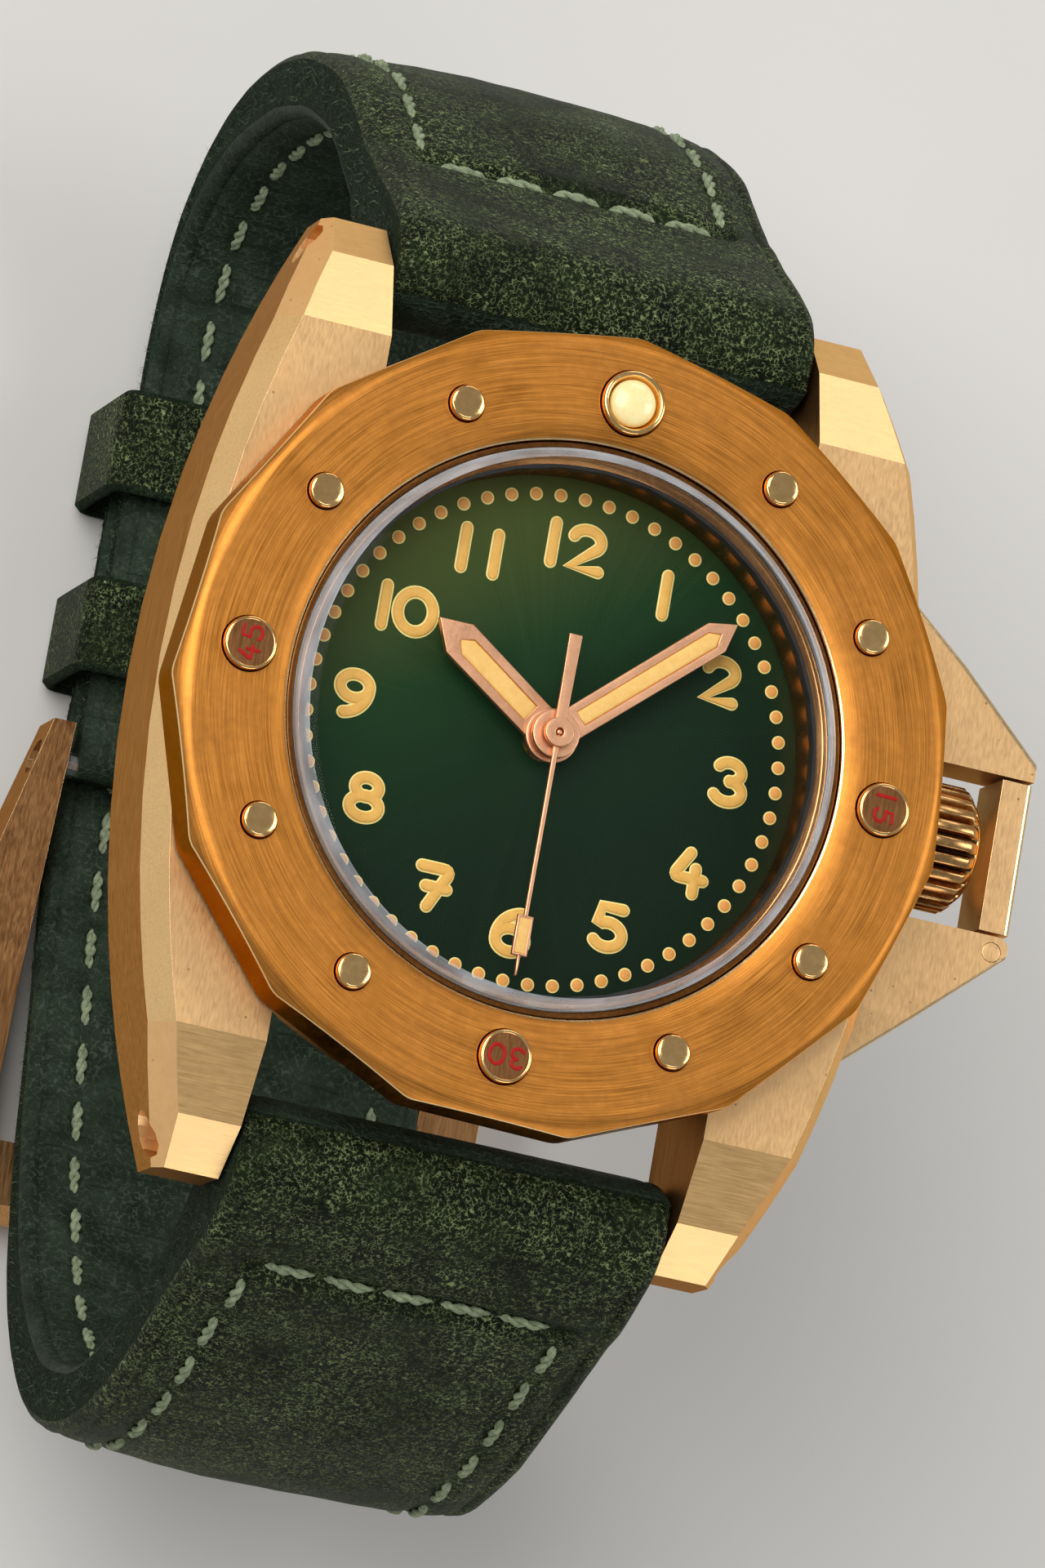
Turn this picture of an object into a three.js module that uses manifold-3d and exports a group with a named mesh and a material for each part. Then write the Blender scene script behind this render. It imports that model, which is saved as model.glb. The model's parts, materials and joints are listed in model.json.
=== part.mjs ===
// Bronze dive watch on a closed leather strap, with its movement inside.
// Millimetres. Origin: centre of the caseback's outer face. +Z leaves through the dial,
// +Y points to 12 o'clock and +X to 3 o'clock.
import * as THREE from 'three';
import { mergeVertices } from 'three/addons/utils/BufferGeometryUtils.js';
import Module from 'manifold-3d';

const wasm = await Module();
wasm.setup();

// ---------------------------------------------------------------- driving dimensions
// heights along Z
const CASE_BOTTOM = 3.1;
const CASE_TOP = 11.8;
const NECK_TOP = 14.2;
const DIAL_TOP = 11.2;
const BEZEL_BOTTOM = 12.1;
const BEZEL_TOP = 15.55;
const STUD_TOP = 16.0;
const CRYSTAL_BOTTOM = 14.6;
const CROWN_Z = 6.95;

// case
const LUG_WIDTH = 26;               // gap between the lugs
const LUG_END = 27.7;               // half of the lug-to-lug length
const FACET_1 = { y: 20.4, z: CASE_TOP };
const FACET_2 = { y: 25.0, z: 9.6 };
const FACET_END = { y: LUG_END, z: 6.73 };
const SIDE_X = 22.4;                // half width of the case at mid height
const SIDE_ARC = 70;                // radius of the curved flank, in plan
const FLANK_CHAMFER = { width: 1.1, drop: 2.1, atTip: 0.45 };
const BODY_RADIUS = 20.2;
const NECK_RADIUS = 17.6;
const BAR_Y = 26;                   // strap bars between the lugs
const BAR_Z = 6;

// crown guard
const GUARD = { bottom: 4.9, top: 8.7, x: 30.2, halfOpening: 4.65, corner: 5.8, root: 14.9, fold: 10.4 };
const GATE = { x0: 28.3, halfLength: 4.45, pinX: 29.25, pinY: -5.6 };
const FLARE = 0.4;                  // chamfer of the guard that lets the near end of the gate swing past

// bezel
const BEZEL_SIDES = 15;
const BEZEL_RADIUS = 23;            // over the corners
const BEZEL_FLAT = 21.05;           // radius of the flat top
const BEZEL_SLOPE = 1.5;            // run over rise of the outer cone
const BEZEL_REST = THREE.MathUtils.degToRad(-1.43);   // the bezel rests a little past 12
const STUD_CIRCLE = 19;

// strap
const STRAP_HALF = 12.7;
const BUCKLE_BAR = { y: 4, z: -45.6 };
const REST_Z = -51.9;               // lowest level, on which keepers and buckle stand
const KEEPER_HALF = 13.2;

const ROUND = 36;                   // segments of the large circles
const MEDIUM = 24;
const SMALL = 12;

// ---------------------------------------------------------------- materials
const finish = (color, roughness, metalness) =>
  new THREE.MeshStandardMaterial({ color, roughness, metalness });
const bronze = finish(0xc98b4a, 0.35, 1);
const patina = finish(0xb0702c, 0.45, 1);
const polished = finish(0xd9a86a, 0.12, 1);
const steel = finish(0xb9bcc0, 0.3, 1);
const brass = finish(0xcfae62, 0.3, 1);
const glass = finish(0xdfe8ee, 0.02, 0);
const lume = finish(0xf0d68a, 0.6, 0);
const dialGreen = finish(0x17382a, 0.4, 0.2);
const rubber = finish(0x1c1c1c, 0.8, 0);
const leather = finish(0x2c3d31, 0.9, 0);

// ---------------------------------------------------------------- shape helpers
function solid(geometry) {
  const bare = new THREE.BufferGeometry();
  bare.setAttribute('position', geometry.getAttribute('position'));
  bare.setIndex(geometry.index);
  const merged = mergeVertices(bare, 1e-4);
  const faces = [];
  for (let i = 0; i < merged.index.count; i += 3) {
    const [a, b, c] = [0, 1, 2].map((k) => merged.index.getX(i + k));
    if (a !== b && b !== c && c !== a) faces.push(a, b, c);
  }
  return new wasm.Manifold(new wasm.Mesh({
    numProp: 3,
    vertProperties: new Float32Array(merged.getAttribute('position').array),
    triVerts: new Uint32Array(faces),
  }));
}

function toGeometry(shape) {
  const { vertProperties, triVerts } = shape.getMesh();
  const geometry = new THREE.BufferGeometry();
  geometry.setAttribute('position', new THREE.BufferAttribute(vertProperties, 3));
  geometry.setIndex(new THREE.BufferAttribute(triVerts, 1));
  return geometry;
}

const unionOf = (shapes) => shapes.reduce((sum, shape) => sum.add(shape));

// a profile of [radius, z] points, counter-clockwise, turned about Z
function turned(profile, segments = ROUND) {
  const points = profile.map(([r, z]) => new THREE.Vector2(r, z));
  const onAxis = profile[0][0] === 0 && profile[profile.length - 1][0] === 0;
  if (!onAxis) points.push(points[0].clone());
  return solid(new THREE.LatheGeometry(points, segments).rotateX(Math.PI / 2));
}

const ring = (inner, outer, z0, z1, segments) =>
  turned([[inner, z0], [outer, z0], [outer, z1], [inner, z1]], segments);

const disc = (radius, z0, z1, segments) => turned([[0, z0], [radius, z0], [radius, z1], [0, z1]], segments);

function outline(points) {
  return new THREE.Shape(points.map(([u, v]) => new THREE.Vector2(u, v)));
}

// an outline of [x, y] points raised from z0 to z1
function plate(points, z0, z1) {
  const settings = { depth: z1 - z0, bevelEnabled: false };
  return solid(new THREE.ExtrudeGeometry(outline(points), settings).translate(0, 0, z0));
}

// an outline of [y, z] points drawn out along X
function band(points, x0, x1) {
  const geometry = new THREE.ExtrudeGeometry(outline(points), { depth: x1 - x0, bevelEnabled: false });
  const yzx = new THREE.Matrix4().makeBasis(
    new THREE.Vector3(0, 1, 0), new THREE.Vector3(0, 0, 1), new THREE.Vector3(1, 0, 0));
  return solid(geometry.applyMatrix4(yzx).translate(x0, 0, 0));
}

function rodX(radius, y, z, x0, x1, segments = SMALL) {
  const rod = new THREE.CylinderGeometry(radius, radius, x1 - x0, segments).rotateZ(Math.PI / 2);
  return solid(rod.translate((x0 + x1) / 2, y, z));
}

function box(x0, x1, y0, y1, z0, z1) {
  const block = new THREE.BoxGeometry(x1 - x0, y1 - y0, z1 - z0);
  return solid(block.translate((x0 + x1) / 2, (y0 + y1) / 2, (z0 + z1) / 2));
}

const at = (shape, x, y, z = 0) => shape.translate([x, y, z]);
const spin = (shape, degrees) => shape.rotate([0, 0, degrees]);
const circlePoint = (radius, angle) => [radius * Math.cos(angle), radius * Math.sin(angle)];

// the watch, filled piece by piece
const watch = new THREE.Group();
function add(name, shape, material) {
  const mesh = new THREE.Mesh(toGeometry(shape), material);
  mesh.name = name;
  watch.add(mesh);
}

// ---------------------------------------------------------------- case
const flankX = (y) => SIDE_X - (SIDE_ARC - Math.sqrt(SIDE_ARC ** 2 - y ** 2));

function lugTop(y) {
  const a = Math.abs(y);
  if (a <= FACET_1.y) return CASE_TOP;
  const [from, to] = a <= FACET_2.y ? [FACET_1, FACET_2] : [FACET_2, FACET_END];
  return THREE.MathUtils.mapLinear(a, from.y, to.y, from.z, to.z);
}

// one side of the case with both its lugs, lofted along Y
function sideRail() {
  const half = [0, 4, 8, 12, 15, 18, FACET_1.y, 22.7, FACET_2.y, LUG_END];
  const stations = [...half.slice(1).map((y) => -y).reverse(), ...half];
  const inner = LUG_WIDTH / 2;
  const positions = [];
  for (const y of stations) {
    const towardsTip = Math.max(Math.abs(y), FACET_2.y);
    const scale = THREE.MathUtils.mapLinear(towardsTip, FACET_2.y, LUG_END, 1, FLANK_CHAMFER.atTip);
    const [x, top] = [flankX(y), lugTop(y)];
    positions.push(inner, y, CASE_BOTTOM, x, y, CASE_BOTTOM, x, y, top - FLANK_CHAMFER.drop * scale);
    positions.push(x - FLANK_CHAMFER.width * scale, y, top, inner, y, top);
  }
  const corners = 5;
  const faces = [];
  for (let s = 0; s < stations.length - 1; s++) {
    for (let k = 0; k < corners; k++) {
      const [a, b] = [s * corners + k, s * corners + ((k + 1) % corners)];
      faces.push(a, a + corners, b, b, a + corners, b + corners);
    }
  }
  const last = (stations.length - 1) * corners;
  for (let k = 1; k < corners - 1; k++) {
    faces.push(0, k, k + 1, last, last + k + 1, last + k);
  }
  const geometry = new THREE.BufferGeometry();
  geometry.setAttribute('position', new THREE.Float32BufferAttribute(positions, 3));
  geometry.setIndex(faces);
  return solid(geometry);
}

function crownGuard() {
  const { bottom, top, x, halfOpening, corner, root, fold } = GUARD;
  const inner = 19;
  const block = plate([
    [inner, -root], [BODY_RADIUS, -root], [x, -corner], [x, corner], [BODY_RADIUS, root], [inner, root],
  ], bottom, top);
  const window = plate([
    [inner - 1, -halfOpening], [x - FLARE, -halfOpening], [x + 1, -halfOpening - 1 - FLARE],
    [x + 1, halfOpening], [inner - 1, halfOpening],
  ], bottom - 1, top + 1);
  const slope = (side) => band([
    [side * fold, top], [side * (root + 1), top - 1.3],
    [side * (root + 1), top + 1], [side * fold, top + 1],
  ], inner - 1, x + 1);
  const tongueSlot = box(28, x + 1, GATE.pinY - 1.2, -halfOpening + 1, 6.0, 7.6);
  const pinHole = at(disc(0.6, bottom - 1, top + 1, SMALL), GATE.pinX, GATE.pinY);
  return block.subtract(unionOf([window, slope(1), slope(-1), tongueSlot, pinHole]));
}

function caseBody() {
  const rail = sideRail();
  const outside = unionOf([
    rail, rail.mirror([1, 0, 0]), disc(BODY_RADIUS, CASE_BOTTOM, CASE_TOP),
    disc(NECK_RADIUS, CASE_TOP - 1, NECK_TOP), crownGuard(),
  ]);
  const bore = unionOf([
    disc(16.6, CASE_BOTTOM - 1, 4.6), disc(14.2, 4, 10.8),
    disc(15.5, 10.6, 13.5), disc(16.2, 13.3, NECK_TOP + 1),
  ]);
  const gasketGroove = ring(16.9, 18, CASE_BOTTOM - 1, 3.9);
  const stemHole = rodX(1.7, 0, CROWN_Z, 10, 26);
  const lugHoles = [BAR_Y, -BAR_Y].map((y) => rodX(1.25, y, BAR_Z, -22, 22));
  return outside.subtract(unionOf([bore, gasketGroove, stemHole, ...lugHoles]));
}

add('case_body', caseBody(), bronze);

function caseback() {
  const plateProfile = [
    [0, 0], [17.0, 0], [17.6, 0.6], [17.6, 2.8], [16.3, 2.8],
    [16.3, 4.3], [14.4, 4.3], [14.4, 1.3], [0, 1.3],
  ];
  const notches = Array.from({ length: 6 }, (_, i) => spin(box(15.2, 18.5, -1.3, 1.3, -1, 1), i * 60 + 30));
  return turned(plateProfile).subtract(unionOf(notches));
}

add('caseback', caseback(), bronze);
add('caseback_gasket', ring(17.15, 17.75, 2.95, 3.7), rubber);

// ---------------------------------------------------------------- bezel and its studs
// the twelve places, clockwise from 12
const STUDS = Array.from({ length: 12 }, (_, hour) => {
  if (hour === 0) return { hour, name: 'pearl_cup', radius: 1.85 };
  if (hour % 3 === 0) return { hour, name: `number_stud_${hour * 5}`, radius: 1.52 };
  return { hour, name: `bezel_stud_${hour}`, radius: 1.0 };
});

function studPlace(hour) {
  return circlePoint(STUD_CIRCLE, Math.PI / 2 - (hour * Math.PI) / 6 + BEZEL_REST);
}

const STUD_SEAT = 14.7;

function bezel() {
  const blank = turned([
    [16.35, 14.45], [17.95, 14.45], [17.95, 12.9], [20.2, 12.9], [20.2, BEZEL_BOTTOM], [24, BEZEL_BOTTOM],
    [24, BEZEL_TOP - (24 - BEZEL_FLAT) / BEZEL_SLOPE], [BEZEL_FLAT, BEZEL_TOP],
    [17.7, BEZEL_TOP], [16.35, 14.95],
  ]);
  const corners = Array.from({ length: BEZEL_SIDES }, (_, i) =>
    circlePoint(BEZEL_RADIUS, Math.PI / 2 + (2 * Math.PI * i) / BEZEL_SIDES + BEZEL_REST));
  const prism = plate(corners, BEZEL_BOTTOM - 1, BEZEL_TOP + 1);
  const seats = STUDS.map(({ hour, radius }) =>
    at(disc(radius + 0.12, STUD_SEAT - 0.12, STUD_TOP, 12), ...studPlace(hour)));
  return blank.intersect(prism).subtract(unionOf(seats));
}

add('bezel', bezel(), patina);
add('bezel_click_spring', ring(18.3, 19.8, 12.05, 12.35), steel);

function studShape(radius) {
  const rim = 0.2;
  return turned([
    [0, STUD_SEAT], [radius, STUD_SEAT], [radius, STUD_TOP - rim], [radius - rim, STUD_TOP], [0, STUD_TOP],
  ], SMALL);
}

function pearlCup(radius) {
  return turned([
    [0, STUD_SEAT], [radius, STUD_SEAT], [radius, STUD_TOP - 0.15],
    [radius - 0.15, STUD_TOP], [1.4, STUD_TOP],
    [1.25, 15.3], [0, 15.3],
  ], 20);
}

for (const { hour, name, radius } of STUDS) {
  const shape = hour === 0 ? pearlCup(radius) : studShape(radius);
  add(name, at(shape, ...studPlace(hour)), polished);
}
const pearl = turned([[0, 15.4], [1.1, 15.4], [1.1, 15.9], [0.7, 16.2], [0, 16.3]], SMALL);
add('lume_pearl', at(pearl, ...studPlace(0)), lume);

// ---------------------------------------------------------------- crystal, rehaut, dial
function crystal() {
  const dome = { edge: 15.3, z: 16.1, rise: 1.3 };
  const steps = 3;
  const top = Array.from({ length: steps + 1 }, (_, i) => {
    const r = dome.edge * (1 - i / steps);
    return [r, dome.z + dome.rise * (1 - (r / dome.edge) ** 2)];
  });
  return turned([[0, CRYSTAL_BOTTOM], [15.9, CRYSTAL_BOTTOM], [15.9, 15.5], ...top]);
}

add('crystal', crystal(), glass);
add('crystal_gasket', ring(15.0, 15.9, 13.5, 14.3), rubber);
add('rehaut', turned([[15.0, 11.4], [15.3, 11.4], [15.3, 13.3], [15.15, 13.3]]), bronze);
add('dial', ring(1.3, 15.2, 10.8, DIAL_TOP), dialGreen);

// ---------------------------------------------------------------- hands
// a hand drawn pointing to 12, with a round eye at the axis, then turned to its hour angle
function hand({ points, hub, eye, z0, z1, clockDegrees }) {
  const blade = plate(points, z0, z1).add(disc(hub, z0, z1, 20));
  const bored = eye ? blade.subtract(disc(eye, z0 - 1, z1 + 1, SMALL)) : blade;
  return spin(bored, -clockDegrees);
}

function pencilBlade(half, length, pointLength) {
  const shoulder = length - pointLength;
  return [[-half * 0.97, 0], [half * 0.97, 0], [half, shoulder], [0, length], [-half, shoulder]];
}

add('hour_hand', hand({
  points: pencilBlade(1.15, 9.2, 1.65), hub: 1.55, eye: 1.1, z0: 12.2, z1: 12.6, clockDegrees: 304,
}), bronze);
add('minute_hand', hand({
  points: pencilBlade(0.95, 12.8, 1.5), hub: 1.4, eye: 0.65, z0: 12.95, z1: 13.35, clockDegrees: 48,
}), bronze);

function secondsHand() {
  const needle = [[-0.39, -5.7], [0.39, -5.7], [0.3, 0], [0.1, 14], [-0.1, 14], [-0.3, 0]];
  const flag = plate([[-0.45, 10.6], [0.45, 10.6], [0.45, 12.9], [-0.45, 12.9]], 13.65, 13.9);
  const body = unionOf([plate(needle, 13.65, 13.9), flag, disc(0.85, 13.65, 14.05, 20)]);
  return spin(body, -180.4);
}

add('seconds_hand', secondsHand(), bronze);

// ---------------------------------------------------------------- movement
// a wheel with its arbor: a toothless rim disc and a thin axle
const wheel = (x, y, radius, z0, z1, axle0, axle1) =>
  at(disc(radius, z0, z1, MEDIUM).add(disc(0.35, axle0, axle1, 8)), x, y);

const BARREL = [-3.8, 6.2];
const THIRD = [5.2, -3.6];
const ESCAPE = [2.2, -8.6];
const BALANCE = [-5.6, -5.6];
const PALLET = [-1.2, -8.3];

const axleHoles = (places, z0, z1) => unionOf(places.map(([x, y]) => at(disc(0.6, z0, z1, 8), x, y)));

add('main_plate', disc(12.6, 8.4, 9.6, MEDIUM).subtract(
  axleHoles([BARREL, THIRD, ESCAPE, BALANCE, PALLET], 8, 10).add(disc(1.3, 8, 10, SMALL))), brass);

function trainBridge() {
  const balanceBay = at(disc(5.2, 3, 5, MEDIUM), ...BALANCE);
  return disc(12.6, 3.6, 4.6, MEDIUM).subtract(
    unionOf([balanceBay, axleHoles([BARREL, THIRD, ESCAPE], 3, 5), disc(0.6, 3, 5, 8)]));
}

add('train_bridge', trainBridge(), steel);
add('balance_cock', plate([[-9.3, -7.4], [-5.0, -5.0], [-5.0, -6.2], [-8.6, -8.4]], 3.75, 4.5).subtract(
  at(disc(0.5, 3, 5, 8), ...BALANCE)), brass);
add('movement_holder', ring(12.9, 13.9, 4.9, 10.4).subtract(box(10, 15, -1.2, 1.2, 5.4, 8.5)), steel);
add('barrel', wheel(...BARREL, 4.6, 5.0, 7.6, 3.9, 9.2), brass);
add('third_wheel', wheel(...THIRD, 2.9, 6.4, 6.8, 3.9, 9.2), brass);
add('centre_wheel', ring(0.35, 3.4, 7.6, 8.0, MEDIUM).add(ring(0.35, 0.58, 7.0, 12.9, 12)), brass);
add('hour_wheel', ring(0.8, 2.6, 9.9, 10.3, 16).add(ring(0.8, 1.0, 9.9, 12.1, 16)), brass);
add('seconds_wheel', disc(2.6, 5.0, 5.4, MEDIUM).add(disc(0.2, 3.9, 13.55, 8)), brass);
add('balance_wheel', at(unionOf([
  ring(3.1, 3.7, 5.0, 5.7, MEDIUM), box(-3.3, 3.3, -0.35, 0.35, 5.15, 5.55), disc(0.3, 3.9, 9.2, 8),
]), ...BALANCE), brass);

function escapeWheel() {
  const teeth = 15;
  const points = Array.from({ length: teeth * 2 }, (_, i) =>
    circlePoint(i % 2 ? 1.5 : 2.0, (Math.PI * i) / teeth));
  return at(plate(points, 5.4, 5.7).add(disc(0.3, 3.9, 9.2, 8)), ...ESCAPE);
}

add('escape_wheel', escapeWheel(), steel);

function palletFork() {
  const arms = plate([
    [-1.3, 0.9], [-1.5, 0.5], [-0.2, -0.3], [1.0, -0.9], [1.2, -0.5], [0.3, 0.4],
  ], 6.0, 6.4);
  return at(arms.add(disc(0.3, 5.9, 9.2, 8)), ...PALLET);
}

add('pallet_fork', palletFork(), steel);

function rotor() {
  const halfDisc = disc(12.2, 1.9, 2.6, MEDIUM).intersect(box(-13, 13, -13, 0, 1, 4));
  const rim = ring(10.6, 12.2, 1.9, 3.2, MEDIUM).intersect(box(-13, 13, -13, 0, 1, 4));
  return unionOf([halfDisc, rim, disc(2.4, 1.9, 2.6, 20)]).subtract(disc(1.3, 1, 4, SMALL));
}

add('rotor', rotor(), steel);
add('rotor_bearing', disc(0.95, 1.8, 3.4, SMALL), steel);

// ---------------------------------------------------------------- crown group
const CROWN = { x0: 23.0, x1: 27.0, radius: 3.7, root: 3.35, ribs: 22 };

function crown() {
  const points = Array.from({ length: CROWN.ribs * 4 }, (_, i) => {
    const r = i % 4 < 2 ? CROWN.radius : CROWN.root;
    return circlePoint(r, (Math.PI * (i + 0.5)) / (CROWN.ribs * 2));
  });
  const grip = band(points, CROWN.x0, CROWN.x1);
  const chamfered = solid(new THREE.LatheGeometry([
    [0, 0], [3.3, 0], [3.8, 0.5], [3.8, 3.4], [3.2, 4], [0, 4],
  ].map(([r, x]) => new THREE.Vector2(r, x)), MEDIUM).rotateZ(-Math.PI / 2).translate(CROWN.x0, 0, 0));
  return at(grip.intersect(chamfered).subtract(rodX(1.75, 0, 0, CROWN.x0 - 1, 25.4)), 0, 0, CROWN_Z);
}

add('crown', crown(), bronze);
add('crown_tube', rodX(1.4, 0, CROWN_Z, 14.6, 24.2).subtract(rodX(0.8, 0, CROWN_Z, 14, 25)), steel);
add('stem', rodX(0.5, 0, CROWN_Z, 9.2, 25.1, 12), steel);
add('setting_lever', ring(0.75, 1.1, 0, 0.8, 12).rotate([0, 90, 0]).translate([9.6, 0, CROWN_Z]), steel);

function crownGate() {
  const bar = box(GATE.x0, GUARD.x, -GATE.halfLength, GATE.halfLength, GUARD.bottom, GUARD.top);
  const half = 0.8;                 // of the tongue's width, and the knuckle's radius
  const tongue = plate([
    [GATE.pinX - half, 0.1 - GATE.halfLength], [GATE.pinX - half, GATE.pinY],
    [GATE.pinX + half, GATE.pinY], [GATE.pinX + half, 0.1 - GATE.halfLength],
  ], 6.3, 7.3);
  const knuckle = at(disc(half, 6.3, 7.3, SMALL), GATE.pinX, GATE.pinY);
  const pinHole = at(disc(0.55, 6, 8, SMALL), GATE.pinX, GATE.pinY);
  return unionOf([bar, tongue, knuckle]).subtract(pinHole);
}

add('crown_gate', crownGate(), bronze);
add('gate_pin', at(disc(0.4, GUARD.bottom, GUARD.top, SMALL), GATE.pinX, GATE.pinY), steel);

// ---------------------------------------------------------------- strap
function strapScrew(side) {
  const slot = box(15.6, 17, side * BAR_Y - 2, side * BAR_Y + 2, BAR_Z - 0.2, BAR_Z + 0.2);
  return rodX(1.1, side * BAR_Y, BAR_Z, 14.3, 16.2).subtract(slot);
}

for (const [name, side] of [['top', 1], ['bottom', -1]]) {
  add(`strap_bar_${name}`, rodX(0.9, side * BAR_Y, BAR_Z, -14, 14), steel);
  add(`strap_screw_${name}_right`, strapScrew(side), bronze);
  add(`strap_screw_${name}_left`, strapScrew(side).mirror([1, 0, 0]), bronze);
}

// a strap half as a band of changing thickness along a smooth path of [y, z] points
function strapBand(path, thickness, samples) {
  const curve = new THREE.SplineCurve(path.map(([y, z]) => new THREE.Vector2(y, z)));
  const left = [];
  const right = [];
  for (let i = 0; i <= samples; i++) {
    const t = i / samples;
    const p = curve.getPointAt(t);
    const d = curve.getTangentAt(t);
    const h = thickness(t) / 2;
    left.push([p.x - d.y * h, p.y + d.x * h]);
    right.push([p.x + d.y * h, p.y - d.x * h]);
  }
  return band([...right, ...left.reverse()], -STRAP_HALF, STRAP_HALF);
}

const ease = THREE.MathUtils.smoothstep;
const LUG_HEAD = 7;                 // strap thickness where it wraps the lug bar

const TOP_PATH = [
  [BAR_Y, BAR_Z], [30.2, 0.6], [34.6, -4.6], [39.4, -11.2], [42.6, -19.5], [43.8, -28.5],
  [42.7, -36.8], [38.9, -43], [33, -45.5], [26, BUCKLE_BAR.z],
  [16, BUCKLE_BAR.z], [BUCKLE_BAR.y + 0.6, BUCKLE_BAR.z],
];
const topThickness = (t) => LUG_HEAD - 2.2 * ease(t, 0, 0.14) - 1.8 * ease(t, 0.45, 0.72);

function strapTop() {
  const body = unionOf([
    strapBand(TOP_PATH, topThickness, 26),
    rodX(LUG_HEAD / 2, BAR_Y, BAR_Z, -STRAP_HALF, STRAP_HALF, 20),
    rodX(1.9, BUCKLE_BAR.y, BUCKLE_BAR.z, -STRAP_HALF, STRAP_HALF),
  ]);
  const tongueSlot = box(
    -1.6, 1.6, BUCKLE_BAR.y - 3, BUCKLE_BAR.y + 2.8, BUCKLE_BAR.z - 4, BUCKLE_BAR.z + 4);
  return body.subtract(unionOf([
    rodX(1.25, BAR_Y, BAR_Z, -20, 20), rodX(1.15, BUCKLE_BAR.y, BUCKLE_BAR.z, -20, 20), tongueSlot,
  ]));
}

const TAIL_Z = BUCKLE_BAR.z - 3.35;   // middle of the tail, outside the buckle piece
const TAIL_END = 33;
const BOTTOM_PATH = [
  [-BAR_Y, BAR_Z], [-29.8, 0.8], [-33.3, -5], [-36.4, -12], [-37.9, -20], [-35.8, -29.3],
  [-29.6, -37], [-21, -42], [-12.5, -44.9], [-4.5, -47.8], [2, TAIL_Z - 0.05],
  [9, TAIL_Z], [16, TAIL_Z], [24, TAIL_Z], [TAIL_END, TAIL_Z],
];
const bottomThickness = (t) => LUG_HEAD - 2.2 * ease(t, 0, 0.12) - 2.2 * ease(t, 0.35, 0.62);

function strapBottom() {
  const body = strapBand(BOTTOM_PATH, bottomThickness, 32).add(
    rodX(LUG_HEAD / 2, -BAR_Y, BAR_Z, -STRAP_HALF, STRAP_HALF, 20));
  const holeAt = (y) => at(disc(1.2, -54, -38, 12), 0, y);
  const used = box(-1.7, 1.7, -1.8, 5.6, -54, -44);
  const holes = [-9, -16, 13].map(holeAt);
  return body.subtract(unionOf([rodX(1.25, -BAR_Y, BAR_Z, -20, 20), used, ...holes]));
}

add('strap_top', strapTop(), leather);
add('strap_bottom', strapBottom(), leather);

function keeper(y0, y1) {
  const wall = 1.2;
  const [top, bottom] = [BUCKLE_BAR.z + 2.1, REST_Z + wall];
  const outer = box(-KEEPER_HALF - wall, KEEPER_HALF + wall, y0, y1, REST_Z, top + wall);
  return outer.subtract(box(-KEEPER_HALF, KEEPER_HALF, y0 - 1, y1 + 1, bottom, top));
}

add('fixed_keeper', keeper(9.5, 15.5), leather);
add('free_keeper', keeper(21, 27.5), leather);

// ---------------------------------------------------------------- buckle
function buckleFrame() {
  const side = [
    [6.3, -43.8], [-9, -46.4], [-23.5, -47.4], [-24.5, -49], [-23.8, REST_Z], [-9, REST_Z], [6.3, -47.3],
  ];
  const plan = [[14.8, 6.3], [17.4, -6], [17.4, -20], [15.4, -24.5]];
  const mirrored = plan.map(([x, y]) => [-x, y]).reverse();
  const opening = box(-13.4, 13.4, -19.6, 8, -55, -40);
  const tongueRest = box(-1.5, 1.5, -26, -18, REST_Z - 1, REST_Z + 1.75);
  const barHole = rodX(1.15, BUCKLE_BAR.y, BUCKLE_BAR.z, -20, 20);
  return band(side, -18, 18)
    .intersect(plate([...plan, ...mirrored], -60, -40))
    .subtract(unionOf([opening, tongueRest, barHole]));
}

add('buckle_frame', buckleFrame(), bronze);
add('buckle_bar', rodX(0.85, BUCKLE_BAR.y, BUCKLE_BAR.z, -14.6, 14.6), steel);

function buckleTongue() {
  const arm = [
    [2.4, -46.6], [1.6, -49.2], [-0.5, -50.4], [-23.2, -50.4], [-23.6, -51.1], [-23.2, -51.85],
    [1.2, -51.85], [3.4, -50], [4.6, -46.9],
  ];
  const eye = rodX(1.8, BUCKLE_BAR.y, BUCKLE_BAR.z, -1.1, 1.1);
  return band(arm, -1.1, 1.1).add(eye).subtract(rodX(1.1, BUCKLE_BAR.y, BUCKLE_BAR.z, -2, 2));
}

add('buckle_tongue', buckleTongue(), bronze);

export default watch;
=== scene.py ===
"""Bronze dive watch with a green dial on a distressed leather strap: the looks round the CAD frame.

Lengths in this file are millimetres in the row frame, and build() turns them into metres.
+Z leaves through the dial, +Y points to 12 o'clock and +X to the crown at 3 o'clock.
"""
import json
from math import cos, degrees, dist, exp, pi, radians, sin, sqrt
import random

import bmesh
import bpy
from mathutils import Matrix, Vector, noise


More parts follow.
